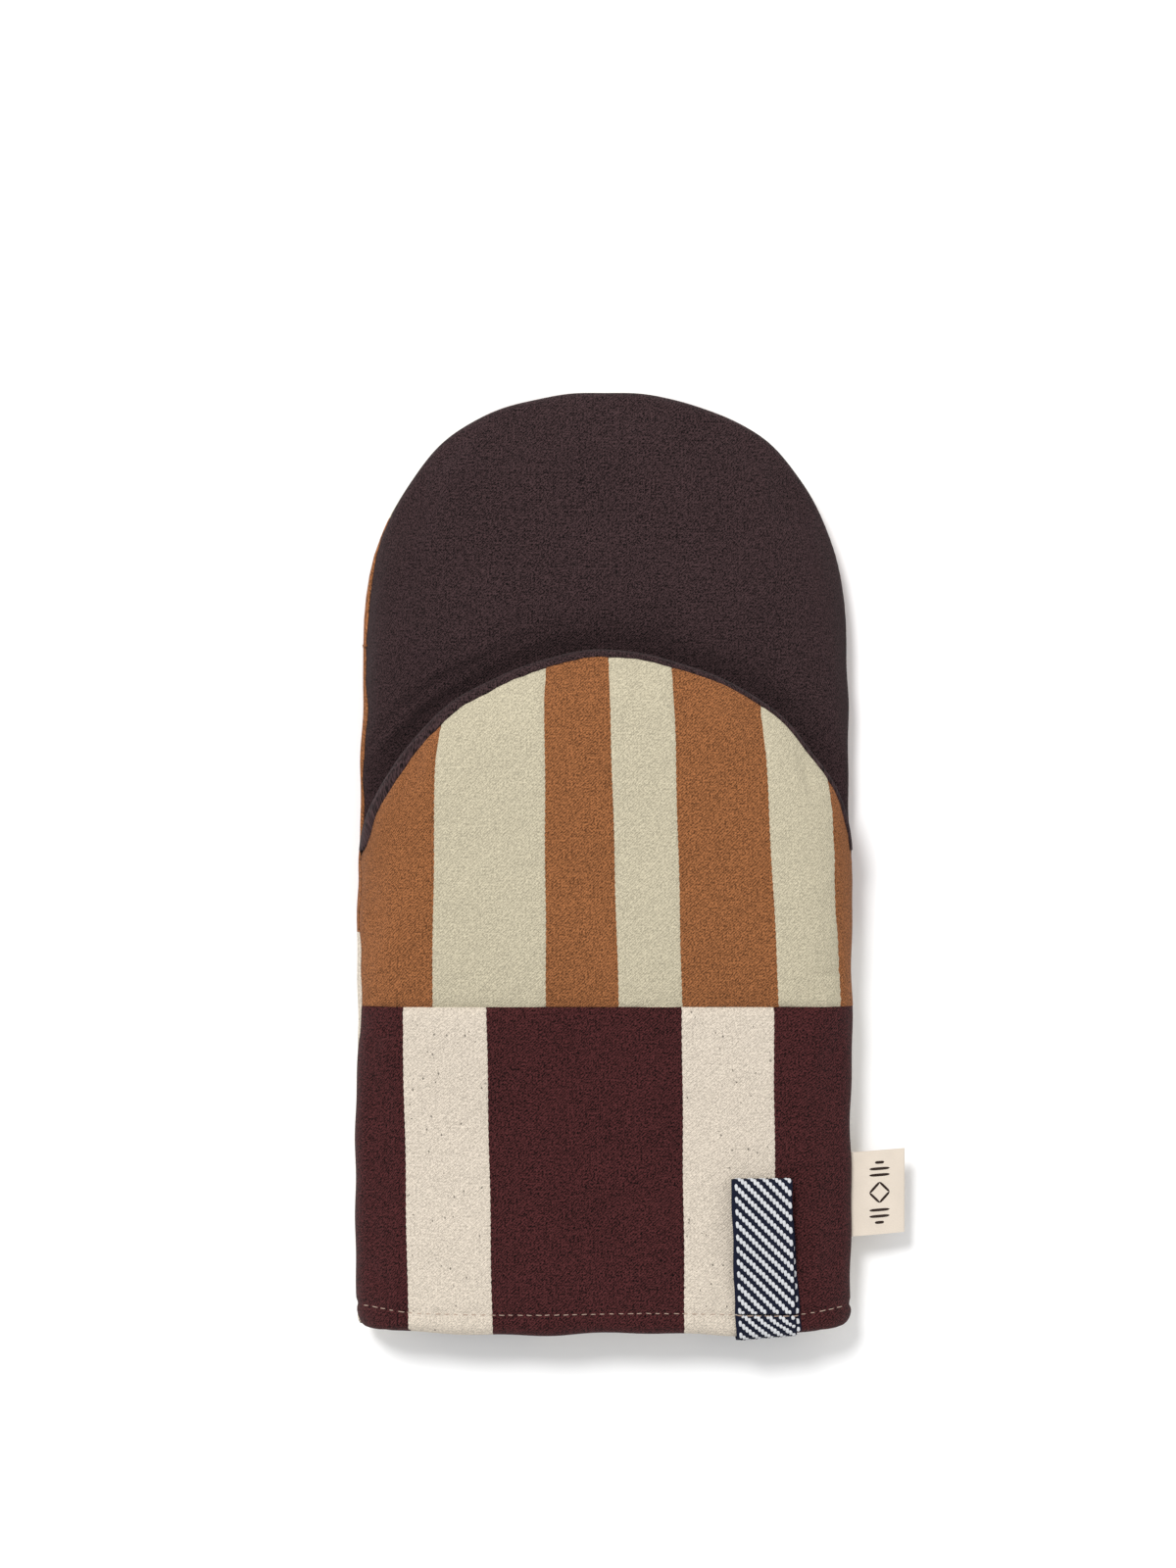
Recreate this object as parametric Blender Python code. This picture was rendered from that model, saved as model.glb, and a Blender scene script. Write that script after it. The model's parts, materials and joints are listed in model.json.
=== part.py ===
"""Patchwork oven mitt of the pinch kind: a finger pocket, a thumb pocket lying on it, and a cuff.

The mitt lies on its back on z = 0. +Y runs to the finger tips, +Z up through its thickness, and
X across. The origin lies on the flat of the back, under the middle of the fold between fingers
and thumb. Each wall is an outer cloth of sewn strips, a layer of wadding, and a lining.
All sizes are in metres.
"""

import math

import bmesh
import bpy

MM = 0.001

# ---- driving sizes ---------------------------------------------------------------------------
HEM_Y = -149.5 * MM              # lower edge of the cuff
FINGER_TIP_Y = 150.4 * MM        # top of the finger dome
FINGER_DOME_Y = 69.0 * MM        # where the sides of the finger pocket start to round in
THUMB_TIP_Y = 66.0 * MM          # top of the thumb dome, whose sides round in from the fold
FRONT_SEAM_Y = -45.5 * MM        # seam between the front's dome strips and cuff strips
BACK_SEAM_Y = -22.0 * MM         # the same seam on the back
CUFF_HALF_WIDTH = 79.5 * MM
FOLD_HALF_WIDTH = 78.4 * MM      # at the fold between fingers and thumb, y = 0
SHOULDER_HALF_WIDTH = 77.2 * MM  # where the finger dome starts
HEM_CORNER = 3.0 * MM            # how far the corners of the hem draw in
DOME_POWER = 2.25                # superellipse power of the finger dome
THUMB_POWER = 2.0                # the thumb dome is a half ellipse

CLOTH = 0.7 * MM
WADDING = 3.0 * MM
LINING = 0.6 * MM
LAYER_GAP = 0.25 * MM
SEAM_GAP = 0.3 * MM
CUFF_CAVITY = 14.4 * MM          # clear height inside, at each place
FINGER_CAVITY = 5.5 * MM
THUMB_CAVITY = 5.5 * MM
HEM_LIFT = 1.5 * MM              # the back's hem curls up off the table
HEM_LIFT_LENGTH = 13.5 * MM
CROTCH_LENGTH = 14.0 * MM        # the pockets' side seams part over this length above the fold
CROTCH_RUN = 20.0 * MM           # and start to part this far below it
CUFF_RISE_START = 90.0 * MM      # the front climbs from the cuff's height between these
CUFF_RISE_END = 10.0 * MM        # two distances below the fold

STITCH_UP = 6.7 * MM             # topstitch, measured up from the hem
THREAD = 0.5 * MM
TAPE = 0.9 * MM
TAPE_WIDTH = 19.4 * MM
LOOP_X = 50.4 * MM               # middle of the tape at the topstitch
LOOP_LENGTH = 44.2 * MM          # free length of the folded tape
LOOP_LEAN = 0.030                # sideways shift for each metre up the loop, to the left
LOOP_EYE = 4.8 * MM              # clear height inside the loop
LOOP_FLAT = 23.0 * MM            # length of the eye at full height
TAIL_TUCK = 8.0 * MM             # length of the tails inside the cuff
LABEL_Y = -106.0 * MM            # middle of the side label
LABEL_HEIGHT = 26.8 * MM
LABEL_REACH = 15.0 * MM
LABEL_CLOTH = 0.4 * MM
LABEL_LEAN = 0.07                # the label's outer edge sits this much higher, per metre out
LABEL_STANDOFF = 0.9 * MM        # hinge line of the label, out from the side seam

THUMB_OPEN_DEG = 75.0
THUMB_NOTCH_DEG = 40.0           # share of the opening angle cut from the thumb's side of the fold
NOTCH_SETBACK = 3.0 * MM

# Seams between strips: x at the cross seam, then x at the far end (the tip, or the hem).
FRONT_DOME_SEAMS = ((-54.7, -53.3), (-18.8, -19.4), (4.1, 0.9), (24.1, 21.2), (54.7, 48.7), (74.7, 68.6))
FRONT_CUFF_SEAMS = ((-64.2, -62.4), (-37.7, -35.8), (24.0, 25.0), (53.0, 54.0))
BACK_DOME_SEAMS = ((-70.5, -68.5), (-41.0, -40.0), (-9.5, -9.0), (15.5, 15.0), (46.0, 45.0), (66.5, 64.0))
BACK_CUFF_SEAMS = ((-56.0, -57.0), (-22.0, -23.0), (30.0, 31.0), (61.0, 61.5))

# ---- values that follow from them --------------------------------------------------------------
WADDING_IN = CLOTH + LAYER_GAP
LINING_IN = WADDING_IN + WADDING + LAYER_GAP
WALL = LINING_IN + LINING
HALF_GAP = SEAM_GAP / 2
FOLD_Z = 2 * WALL + FINGER_CAVITY + HALF_GAP
THUMB_TOP_Z = FOLD_Z + HALF_GAP + 2 * WALL + THUMB_CAVITY
CUFF_TOP_Z = 2 * WALL + CUFF_CAVITY
PALM_RISE = 1.25 * WALL          # height of each palm wall over its own seam
CROTCH_RISE = CLOTH + HALF_GAP   # the same at the fold, where only the cloth is left
FOLD_SEAM_Z = FOLD_Z - HALF_GAP - CROTCH_RISE
HEM_SEAM_Z = 0.5 * CUFF_TOP_Z
STITCH_Y = HEM_Y + STITCH_UP
TAPE_BASE_Z = CUFF_TOP_Z + SEAM_GAP
TAPE_STACK = 2 * TAPE
LOOP_HINGE_Z = TAPE_BASE_Z + TAPE_STACK + SEAM_GAP
STITCH_CLEAR = THREAD / 2 + LAYER_GAP
BACK_FLAT = 0.72                 # share of the half width that is flat, across the back
CUFF_FLAT = 0.78                 # across the cuff's front
DOME_FLAT = 0.50                 # across the thumb's front and the palm
SIDE_STEPS = 5                   # facets round each side of a cross-section
DOME_STEPS = 5                   # rows round the thumb dome; the finger dome has one more
LAST_STOP = math.radians(85.5)   # the last row before each dome's tip, of a quarter turn
SHARP_ANGLE = math.radians(50)
OVERRUN = 0.1                    # how far a cutter runs past what it cuts, as a share

COLOURS = {
    "rust_canvas": (0.280, 0.115, 0.048),
    "sage_canvas": (0.585, 0.530, 0.396),
    "burgundy_canvas": (0.063, 0.021, 0.022),
    "natural_canvas": (0.702, 0.617, 0.509),
    "brown_canvas": (0.048, 0.028, 0.030),
    "lining_cotton": (0.640, 0.600, 0.520),
    "wadding_felt": (0.750, 0.740, 0.700),
    "twill_tape": (0.120, 0.125, 0.160),
    "label_cotton": (0.800, 0.720, 0.620),
    "sewing_thread": (0.720, 0.640, 0.520),
}


def clear_scene():
    for obj in list(bpy.data.objects):
        bpy.data.objects.remove(obj, do_unlink=True)


def material(slot):
    found = bpy.data.materials.get(slot)
    if found:
        return found
    made = bpy.data.materials.new(slot)
    made.use_nodes = True
    shader = made.node_tree.nodes["Principled BSDF"]
    shader.inputs["Base Color"].default_value = (*COLOURS[slot], 1.0)
    shader.inputs["Roughness"].default_value = 0.9
    shader.inputs["Metallic"].default_value = 0.0
    return made


def ease(value, start, end):
    """0 before start, 1 after end, smooth between."""
    share = min(1.0, max(0.0, (value - start) / (end - start)))
    return share * share * (3 - 2 * share)


def mix(a, b, share):
    return a + (b - a) * share


# ---- the mitt's outline and heights --------------------------------------------------------------
def side_half_width(y):
    """Half width of the mitt below the finger dome."""
    if y < STITCH_Y:
        return CUFF_HALF_WIDTH - HEM_CORNER * (1 - ease(y, HEM_Y, STITCH_Y))
    if y < 0:
        return mix(CUFF_HALF_WIDTH, FOLD_HALF_WIDTH, (y - STITCH_Y) / -STITCH_Y)
    return mix(FOLD_HALF_WIDTH, SHOULDER_HALF_WIDTH, min(1.0, y / FINGER_DOME_Y))


def side_seam_z(y):
    """Height of the side seam along the cuff, up to the fold."""
    return mix(HEM_SEAM_Z, FOLD_Z - HALF_GAP, ease(y, HEM_Y, -CROTCH_RUN))


def back_seam_z(y):
    """Upper edge of the back: the side seam, then the finger pocket's seam."""
    below = mix(side_seam_z(y), FOLD_SEAM_Z, ease(y, -CROTCH_RUN, 0.0))
    return mix(below, FOLD_Z - HALF_GAP - PALM_RISE, ease(y, 0.0, CROTCH_LENGTH))


def front_seam_z(y):
    """Lower edge of the front: the side seam, then the thumb pocket's seam."""
    below = mix(side_seam_z(y), 2 * FOLD_Z - FOLD_SEAM_Z, ease(y, -CROTCH_RUN, 0.0))
    return mix(below, FOLD_Z + HALF_GAP + PALM_RISE, ease(y, 0.0, CROTCH_LENGTH))


def front_top_z(y):
    return mix(CUFF_TOP_Z, THUMB_TOP_Z, ease(y, -CUFF_RISE_START, -CUFF_RISE_END))


def back_bottom_z(y):
    return HEM_LIFT * (1 - ease(y, STITCH_Y, HEM_Y + HEM_LIFT_LENGTH))


def front_flat(y):
    return mix(CUFF_FLAT, DOME_FLAT, ease(y, -CUFF_RISE_START, 0.0))


# ---- rows: one cross-section each, as y, half width, seam height, rise and flat share ------------
def straight_row(y, rise, seam_z, flat, inset):
    return (y, side_half_width(y) - inset, seam_z(y), rise(y) - inset, flat(y))


def dome_rows(base, tip, half_width, power, rise, seam_z, flat, inset, stops):
    """Cross-sections round a dome, then the tip itself as a row of no width."""
    rows = []
    for stop in stops:
        along = math.sin(stop) ** (2 / power)
        across = math.cos(stop) ** (2 / power)
        y = base + (tip - base) * along
        height = (1 - along ** 4) ** 0.25
        inner_y = base + (tip - base - inset) * along
        rows.append((inner_y, (half_width - inset) * across, seam_z(y), (rise(y) - inset) * height, flat(y)))
    rows.append((tip - inset, 0.0, seam_z(tip), 0.0, flat(tip)))
    return rows


def finger_stops():
    count = DOME_STEPS + 1
    return [LAST_STOP * (i + 1) / count for i in range(count)]


def thumb_stops():
    """The fold, the end of the crotch and its middle, then even steps round the dome."""
    crotch = math.asin(CROTCH_LENGTH / THUMB_TIP_Y)
    even = [mix(crotch, LAST_STOP, (i + 1) / DOME_STEPS) for i in range(DOME_STEPS)]
    return [0.0, crotch / 2, crotch] + even


def back_rise(y):
    return back_seam_z(y) - back_bottom_z(y)


def front_rise(y):
    return front_top_z(y) - front_seam_z(y)


def finger_palm_rise(y):
    return FOLD_Z - HALF_GAP - back_seam_z(y)


def thumb_palm_rise(y):
    return front_seam_z(y) - FOLD_Z - HALF_GAP


def back_flat(_y):
    return BACK_FLAT


def palm_flat(_y):
    return DOME_FLAT


def cuff_stations(end):
    lift_end = HEM_Y + HEM_LIFT_LENGTH
    middle = -CUFF_RISE_START
    return [HEM_Y, STITCH_Y, lift_end, middle, end]


def back_rows(inset, start, end):
    """The back from start to end, or to the finger tip where end is None."""
    stations = cuff_stations(FRONT_SEAM_Y)
    stations += [BACK_SEAM_Y, 0.0, CROTCH_LENGTH / 2, CROTCH_LENGTH, FINGER_DOME_Y]
    kept = [y for y in stations if y > start and (end is None or y < end)]
    kept = [start] + kept + ([end] if end is not None else [])
    rows = [straight_row(y, back_rise, back_seam_z, back_flat, inset) for y in kept]
    if end is None:
        rows += dome_rows(FINGER_DOME_Y, FINGER_TIP_Y, SHOULDER_HALF_WIDTH, DOME_POWER, back_rise,
                          back_seam_z, back_flat, inset, finger_stops())
    return rows


def front_rows(inset, start, end):
    """The front from start to end, or to the thumb tip where end is None."""
    stations = cuff_stations(FRONT_SEAM_Y) + [-CROTCH_RUN]
    kept = [y for y in stations if y > start and (end is None or y < end)]
    kept = [start] + kept + ([end] if end is not None else [])
    rows = [straight_row(y, front_rise, front_seam_z, front_flat, inset) for y in kept]
    if end is None:
        rows += thumb_front_rows(inset)
    return rows


def thumb_front_rows(inset):
    return dome_rows(0.0, THUMB_TIP_Y, FOLD_HALF_WIDTH, THUMB_POWER, front_rise, front_seam_z,
                     front_flat, inset, thumb_stops())


def thumb_palm_rows(inset, from_crotch):
    stops = [s for s in thumb_stops() if not from_crotch or math.sin(s) * THUMB_TIP_Y > CROTCH_LENGTH - 1e-9]
    return dome_rows(0.0, THUMB_TIP_Y, FOLD_HALF_WIDTH, THUMB_POWER, thumb_palm_rise, front_seam_z,
                     palm_flat, inset, stops)


def finger_palm_rows(inset, from_crotch):
    stations = [CROTCH_LENGTH, FINGER_DOME_Y]
    if not from_crotch:
        stations = [0.0, CROTCH_LENGTH / 2] + stations
    rows = [straight_row(y, finger_palm_rise, back_seam_z, palm_flat, inset) for y in stations]
    rows += dome_rows(FINGER_DOME_Y, FINGER_TIP_Y, SHOULDER_HALF_WIDTH, DOME_POWER, finger_palm_rise,
                      back_seam_z, palm_flat, inset, finger_stops())
    return rows


# ---- solids ---------------------------------------------------------------------------------------
def section(row, side):
    """Points of one cross-section, from the left seam over to the right seam."""
    y, half_width, seam_z, rise, flat = row
    seam_z += side * HALF_GAP
    rise = rise - HALF_GAP
    quarter = []
    for i in range(SIDE_STEPS + 1):
        angle = math.radians(90) * i / SIDE_STEPS
        x = half_width * (flat + (1 - flat) * math.cos(angle))
        quarter.append((x, y, seam_z + side * rise * math.sin(angle)))
    left = [(-x, y, z) for x, y, z in quarter]
    middle = [(0.0, y, seam_z + side * rise)]
    return left + middle + quarter[::-1]


def link(obj):
    bpy.context.scene.collection.objects.link(obj)
    return obj


def mesh_from(bm, name):
    bmesh.ops.recalc_face_normals(bm, faces=bm.faces)
    mesh = bpy.data.meshes.new(name)
    bm.to_mesh(mesh)
    bm.free()
    return mesh


def add_object(name, mesh, slot):
    obj = link(bpy.data.objects.new(name, mesh))
    mesh.materials.append(material(slot))
    mesh.shade_smooth()
    mesh.set_sharp_from_angle(angle=SHARP_ANGLE)
    return obj


def skin(bm, rows):
    """Triangles over a grid of points; each half leans its diagonals towards the middle."""
    for low, high in zip(rows[:-1], rows[1:]):
        if len(high) == 1:
            for a, b in zip(low[:-1], low[1:]):
                bm.faces.new((a, b, high[0]))
            continue
        half = len(low) // 2
        for i in range(len(low) - 1):
            a, b, c, d = low[i], low[i + 1], high[i + 1], high[i]
            if i < half:
                bm.faces.new((a, b, c))
                bm.faces.new((a, c, d))
            else:
                bm.faces.new((a, b, d))
                bm.faces.new((b, c, d))


def ribbon(bm, outer, inner):
    """Quads between two lines of points of the same length."""
    for a, b, c, d in zip(outer[:-1], outer[1:], inner[1:], inner[:-1]):
        bm.faces.new((a, b, c, d))


def layer_mesh(name, outer_rows, inner_rows, side):
    """A closed layer of cloth between two sets of cross-sections, with a rim along its seams."""
    bm = bmesh.new()
    grids = []
    for rows in (outer_rows, inner_rows):
        grid = []
        for row in rows:
            points = section(row, side)
            if row[1] == 0.0:
                points = [(0.0, row[0], row[2] + side * HALF_GAP)]
            grid.append([bm.verts.new(p) for p in points])
        grids.append(grid)
    outer, inner = grids
    skin(bm, outer)
    skin(bm, inner)
    ribbon(bm, outer[0], inner[0])
    ribbon(bm, [row[0] for row in outer], [row[0] for row in inner])
    ribbon(bm, [row[-1] for row in outer], [row[-1] for row in inner])
    if len(outer[-1]) > 1:
        ribbon(bm, outer[-1], inner[-1])
    return mesh_from(bm, name)


def prism_mesh(name, outline, place):
    """A closed prism: an outline of 2-D points, placed at both ends by place(point, end)."""
    bm = bmesh.new()
    low = [bm.verts.new(place(p, 0)) for p in outline]
    high = [bm.verts.new(place(p, 1)) for p in outline]
    bm.faces.new(low)
    bm.faces.new(high)
    ribbon(bm, low + low[:1], high + high[:1])
    return mesh_from(bm, name)


def cutter(name, outline, place):
    obj = link(bpy.data.objects.new(name, prism_mesh(name, outline, place)))
    obj.hide_render = True
    obj.display_type = "WIRE"
    return obj


def boolean(obj, operation, tool):
    made = obj.modifiers.new(operation.lower(), "BOOLEAN")
    made.operation = operation
    made.solver = "EXACT"
    made.object = tool


def strips(name, mesh, seams, near_y, far_y, slots):
    """Cuts a panel into strips along its seams, each strip a piece of its own."""
    beyond = 2 * CUFF_HALF_WIDTH
    high = 2 * THUMB_TOP_Z
    reach = far_y - near_y
    near = near_y - OVERRUN * reach
    far = far_y + OVERRUN * reach
    lines = []
    for at_near, at_far in seams:
        slope = (at_far - at_near) * MM / reach
        lines.append([at_near * MM + slope * (y - near_y) for y in (near, far)])
    edges = [[-beyond, -beyond]] + lines + [[beyond, beyond]]
    for i, slot in enumerate(slots):
        left = [x + HALF_GAP for x in edges[i]]
        right = [x - HALF_GAP for x in edges[i + 1]]
        outline = [(left[0], near), (right[0], near), (right[1], far), (left[1], far)]
        tool = cutter(f"{name}_cutter_{i + 1}", outline, lambda p, end: (p[0], p[1], high if end else -high))
        strip = add_object(f"{name}_strip_{i + 1}", mesh.copy(), slot)
        boolean(strip, "INTERSECT", tool)


def build_outer_cloth():
    rust, sage, burgundy, natural = "rust_canvas", "sage_canvas", "burgundy_canvas", "natural_canvas"
    front_dome = layer_mesh("front_dome", front_rows(0.0, FRONT_SEAM_Y + HALF_GAP, None),
                            front_rows(CLOTH, FRONT_SEAM_Y + HALF_GAP, None), 1)
    front_cuff = layer_mesh("front_cuff", front_rows(0.0, HEM_Y, FRONT_SEAM_Y - HALF_GAP),
                            front_rows(CLOTH, HEM_Y, FRONT_SEAM_Y - HALF_GAP), 1)
    back_dome = layer_mesh("back_dome", back_rows(0.0, BACK_SEAM_Y + HALF_GAP, None),
                           back_rows(CLOTH, BACK_SEAM_Y + HALF_GAP, None), -1)
    back_cuff = layer_mesh("back_cuff", back_rows(0.0, HEM_Y, BACK_SEAM_Y - HALF_GAP),
                           back_rows(CLOTH, HEM_Y, BACK_SEAM_Y - HALF_GAP), -1)
    strips("front_dome", front_dome, FRONT_DOME_SEAMS, FRONT_SEAM_Y, THUMB_TIP_Y,
           (rust, sage, rust, sage, rust, sage, rust))
    strips("front_cuff", front_cuff, FRONT_CUFF_SEAMS, FRONT_SEAM_Y, HEM_Y,
           (burgundy, natural, burgundy, natural, burgundy))
    strips("back_dome", back_dome, BACK_DOME_SEAMS, BACK_SEAM_Y, FINGER_TIP_Y,
           (rust, sage, rust, sage, rust, sage, rust))
    strips("back_cuff", back_cuff, BACK_CUFF_SEAMS, BACK_SEAM_Y, HEM_Y,
           (natural, burgundy, natural, burgundy, natural))
    add_object("palm_fingers", layer_mesh("palm_fingers", finger_palm_rows(0.0, False),
                                          finger_palm_rows(CLOTH, False), 1), "brown_canvas")
    add_object("palm_thumb", layer_mesh("palm_thumb", thumb_palm_rows(0.0, False),
                                        thumb_palm_rows(CLOTH, False), -1), "brown_canvas")


def fold_notches():
    """Wedges that clear the padding each side of the fold's front, so that the thumb can open."""
    reach = 4 * THUMB_TOP_Z
    beyond = 2 * CUFF_HALF_WIDTH
    thumb_angle = math.radians(90 - THUMB_NOTCH_DEG)
    cuff_angle = math.radians(90 + THUMB_OPEN_DEG - THUMB_NOTCH_DEG)

    def wedge(name, apex_y, angle, away):
        tip = (apex_y + reach * math.cos(angle), FOLD_Z + reach * math.sin(angle))
        back = OVERRUN * reach
        root = (apex_y - back * math.cos(angle), FOLD_Z - back * math.sin(angle))
        outline = [root, tip, (tip[0] + away * reach, tip[1]), (root[0] + away * reach, root[1])]
        return cutter(name, outline, lambda p, end: (beyond if end else -beyond, p[0], p[1]))

    return wedge("thumb_notch", 0.0, thumb_angle, -1), wedge("cuff_notch", -NOTCH_SETBACK, cuff_angle, 1)


def build_padding():
    """Wadding and lining behind each panel: both are cut back at the fold."""
    thumb_notch, cuff_notch = fold_notches()
    layers = (("wadding", "wadding_felt", WADDING_IN, WADDING_IN + WADDING),
              ("lining", "lining_cotton", LINING_IN, WALL))
    for kind, slot, outer, inner in layers:
        add_object(f"{kind}_back", layer_mesh("back", back_rows(outer, HEM_Y, None),
                                              back_rows(inner, HEM_Y, None), -1), slot)
        cuff = add_object(f"{kind}_front_cuff", layer_mesh("cuff", front_rows(outer, HEM_Y, 0.0),
                                                           front_rows(inner, HEM_Y, 0.0), 1), slot)
        boolean(cuff, "DIFFERENCE", cuff_notch)
        thumb = add_object(f"{kind}_front_thumb", layer_mesh("thumb", thumb_front_rows(outer),
                                                             thumb_front_rows(inner), 1), slot)
        boolean(thumb, "DIFFERENCE", thumb_notch)
        add_object(f"{kind}_palm_fingers", layer_mesh("fingers", finger_palm_rows(outer, True),
                                                      finger_palm_rows(inner, True), 1), slot)
        add_object(f"{kind}_palm_thumb", layer_mesh("palm", thumb_palm_rows(outer, True),
                                                    thumb_palm_rows(inner, True), -1), slot)


def build_topstitch():
    """The thread that closes the hem, all the way round the cuff."""
    def ring(outset, y):
        back = section((y, side_half_width(STITCH_Y) + outset, back_seam_z(STITCH_Y),
                        back_rise(STITCH_Y) + outset, BACK_FLAT), -1)
        front = section((y, side_half_width(STITCH_Y) + outset, front_seam_z(STITCH_Y),
                         front_rise(STITCH_Y) + outset, front_flat(STITCH_Y)), 1)
        return back + front[::-1]

    bm = bmesh.new()
    low, high = STITCH_Y - THREAD / 2, STITCH_Y + THREAD / 2
    near, far = SEAM_GAP, SEAM_GAP + THREAD
    rings = [[bm.verts.new(p) for p in ring(*corner)]
             for corner in ((near, low), (far, low), (far, high), (near, high))]
    for one, other in zip(rings, rings[1:] + rings[:1]):
        ribbon(bm, one + one[:1], other + other[:1])
    add_object("hem_topstitch", mesh_from(bm, "hem_topstitch"), "sewing_thread")


def tape_place(point, end):
    """Places a point of the tape's side view; the tape leans a little to the left going up."""
    y, z = point
    x = LOOP_X - LOOP_LEAN * (y - STITCH_Y) + (TAPE_WIDTH / 2 if end else -TAPE_WIDTH / 2)
    return (x, y, z)


def arc(centre, radius, start_deg, end_deg, steps):
    points = []
    for i in range(steps + 1):
        angle = math.radians(mix(start_deg, end_deg, i / steps))
        points.append((centre[0] + radius * math.cos(angle), centre[1] + radius * math.sin(angle)))
    return points


def build_loop():
    """The hanging loop: a folded tape with an open eye, hinged along the topstitch."""
    sewn_y = STITCH_Y + STITCH_CLEAR
    radius = LOOP_EYE / 2 + TAPE
    fold = (STITCH_Y + LOOP_LENGTH - radius, TAPE_BASE_Z + radius)
    flat_end_y = fold[0] - LOOP_FLAT
    closed_y = sewn_y + 4 * TAPE
    top_z = TAPE_BASE_Z + TAPE_STACK
    inner = LOOP_EYE / 2
    outer_line = [(sewn_y, TAPE_BASE_Z)] + arc(fold, radius, -90, 90, 6)
    outer_line += [(flat_end_y, fold[1] + radius), (closed_y, top_z), (sewn_y, top_z)]
    eye_line = arc(fold, inner, -90, 90, 6)
    eye_line += [(flat_end_y, fold[1] + inner), (closed_y + TAPE, TAPE_BASE_Z + TAPE + LAYER_GAP)]
    eye_line += [(closed_y + TAPE, TAPE_BASE_Z + TAPE)]
    loop = add_object("hanging_loop", prism_mesh("loop", outer_line, tape_place), "twill_tape")
    beyond = 2.0

    def eye_place(point, end):
        x, y, z = tape_place(point, end)
        return (LOOP_X + (x - LOOP_X) * beyond, y, z)

    boolean(loop, "DIFFERENCE", cutter("eye_cutter", eye_line, eye_place))


def build_loop_tails():
    """Both ends of the tape, sewn down under the topstitch and tucked round the hem."""
    start_y = STITCH_Y - STITCH_CLEAR
    end_y = HEM_Y - SEAM_GAP
    wrap_y = end_y - TAPE_STACK
    inside_z = CUFF_TOP_Z - WALL - SEAM_GAP
    top_z = TAPE_BASE_Z + TAPE_STACK
    tuck_y = HEM_Y + TAIL_TUCK
    outline = [(start_y, TAPE_BASE_Z), (start_y, top_z), (end_y, top_z), (wrap_y, TAPE_BASE_Z),
               (wrap_y, inside_z), (end_y, inside_z - TAPE_STACK), (tuck_y, inside_z - TAPE_STACK),
               (tuck_y, inside_z), (end_y, inside_z), (end_y, TAPE_BASE_Z)]
    add_object("hanging_loop_tails", prism_mesh("tails", outline, tape_place), "twill_tape")


def build_label():
    """The side label: a ribbon folded over, with its ends in the side seam."""
    seam_x = max(side_half_width(LABEL_Y + end * LABEL_HEIGHT / 2) for end in (-1, 1))
    seam_z = side_seam_z(LABEL_Y)
    start_x = seam_x + LABEL_STANDOFF + SEAM_GAP
    half = 1.5 * LABEL_CLOTH
    slit = 0.5 * LABEL_CLOTH
    fold = (start_x + LABEL_REACH - half, seam_z)
    outline = [(start_x, seam_z - half)] + arc(fold, half, -90, 90, 6) + [(start_x, seam_z + half)]
    outline += [(start_x, seam_z + slit)] + arc(fold, slit, 90, -90, 4) + [(start_x, seam_z - slit)]

    def place(point, end):
        x, z = point
        y = LABEL_Y + LABEL_LEAN * (x - seam_x) + (LABEL_HEIGHT / 2 if end else -LABEL_HEIGHT / 2)
        return (x, y, z)

    add_object("side_label", prism_mesh("label", outline, place), "label_cotton")


def main():
    clear_scene()
    build_outer_cloth()
    build_padding()
    build_topstitch()
    build_loop()
    build_loop_tails()
    build_label()


main()
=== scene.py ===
"""Looks for the patchwork oven mitt: cloth skins, wadding, linings, stitches, tape and label.

Everything is in metres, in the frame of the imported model. The mitt lies on its back on z = 0,
+Y runs to the finger tips and +Z up through its thickness.
"""

import json
import math

import bmesh
import bpy
import numpy as np
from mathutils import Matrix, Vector


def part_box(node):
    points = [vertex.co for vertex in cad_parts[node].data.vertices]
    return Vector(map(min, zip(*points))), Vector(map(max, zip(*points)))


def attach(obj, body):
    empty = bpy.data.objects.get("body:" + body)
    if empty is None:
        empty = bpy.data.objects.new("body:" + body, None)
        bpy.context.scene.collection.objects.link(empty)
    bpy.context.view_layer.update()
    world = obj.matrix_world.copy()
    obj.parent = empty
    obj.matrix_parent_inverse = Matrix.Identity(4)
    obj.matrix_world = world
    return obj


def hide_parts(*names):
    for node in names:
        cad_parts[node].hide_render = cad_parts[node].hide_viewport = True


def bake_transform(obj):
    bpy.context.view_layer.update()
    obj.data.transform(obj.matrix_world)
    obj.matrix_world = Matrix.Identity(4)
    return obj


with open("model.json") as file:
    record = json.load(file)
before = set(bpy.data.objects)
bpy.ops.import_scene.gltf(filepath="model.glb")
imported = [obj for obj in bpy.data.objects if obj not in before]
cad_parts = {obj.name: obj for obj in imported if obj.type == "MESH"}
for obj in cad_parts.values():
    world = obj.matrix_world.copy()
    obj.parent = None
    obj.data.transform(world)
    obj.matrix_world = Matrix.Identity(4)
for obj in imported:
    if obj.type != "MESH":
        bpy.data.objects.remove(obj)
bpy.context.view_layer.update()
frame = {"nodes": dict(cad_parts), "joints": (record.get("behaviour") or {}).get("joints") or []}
rng = np.random.default_rng(7)

MM = 0.001

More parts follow.
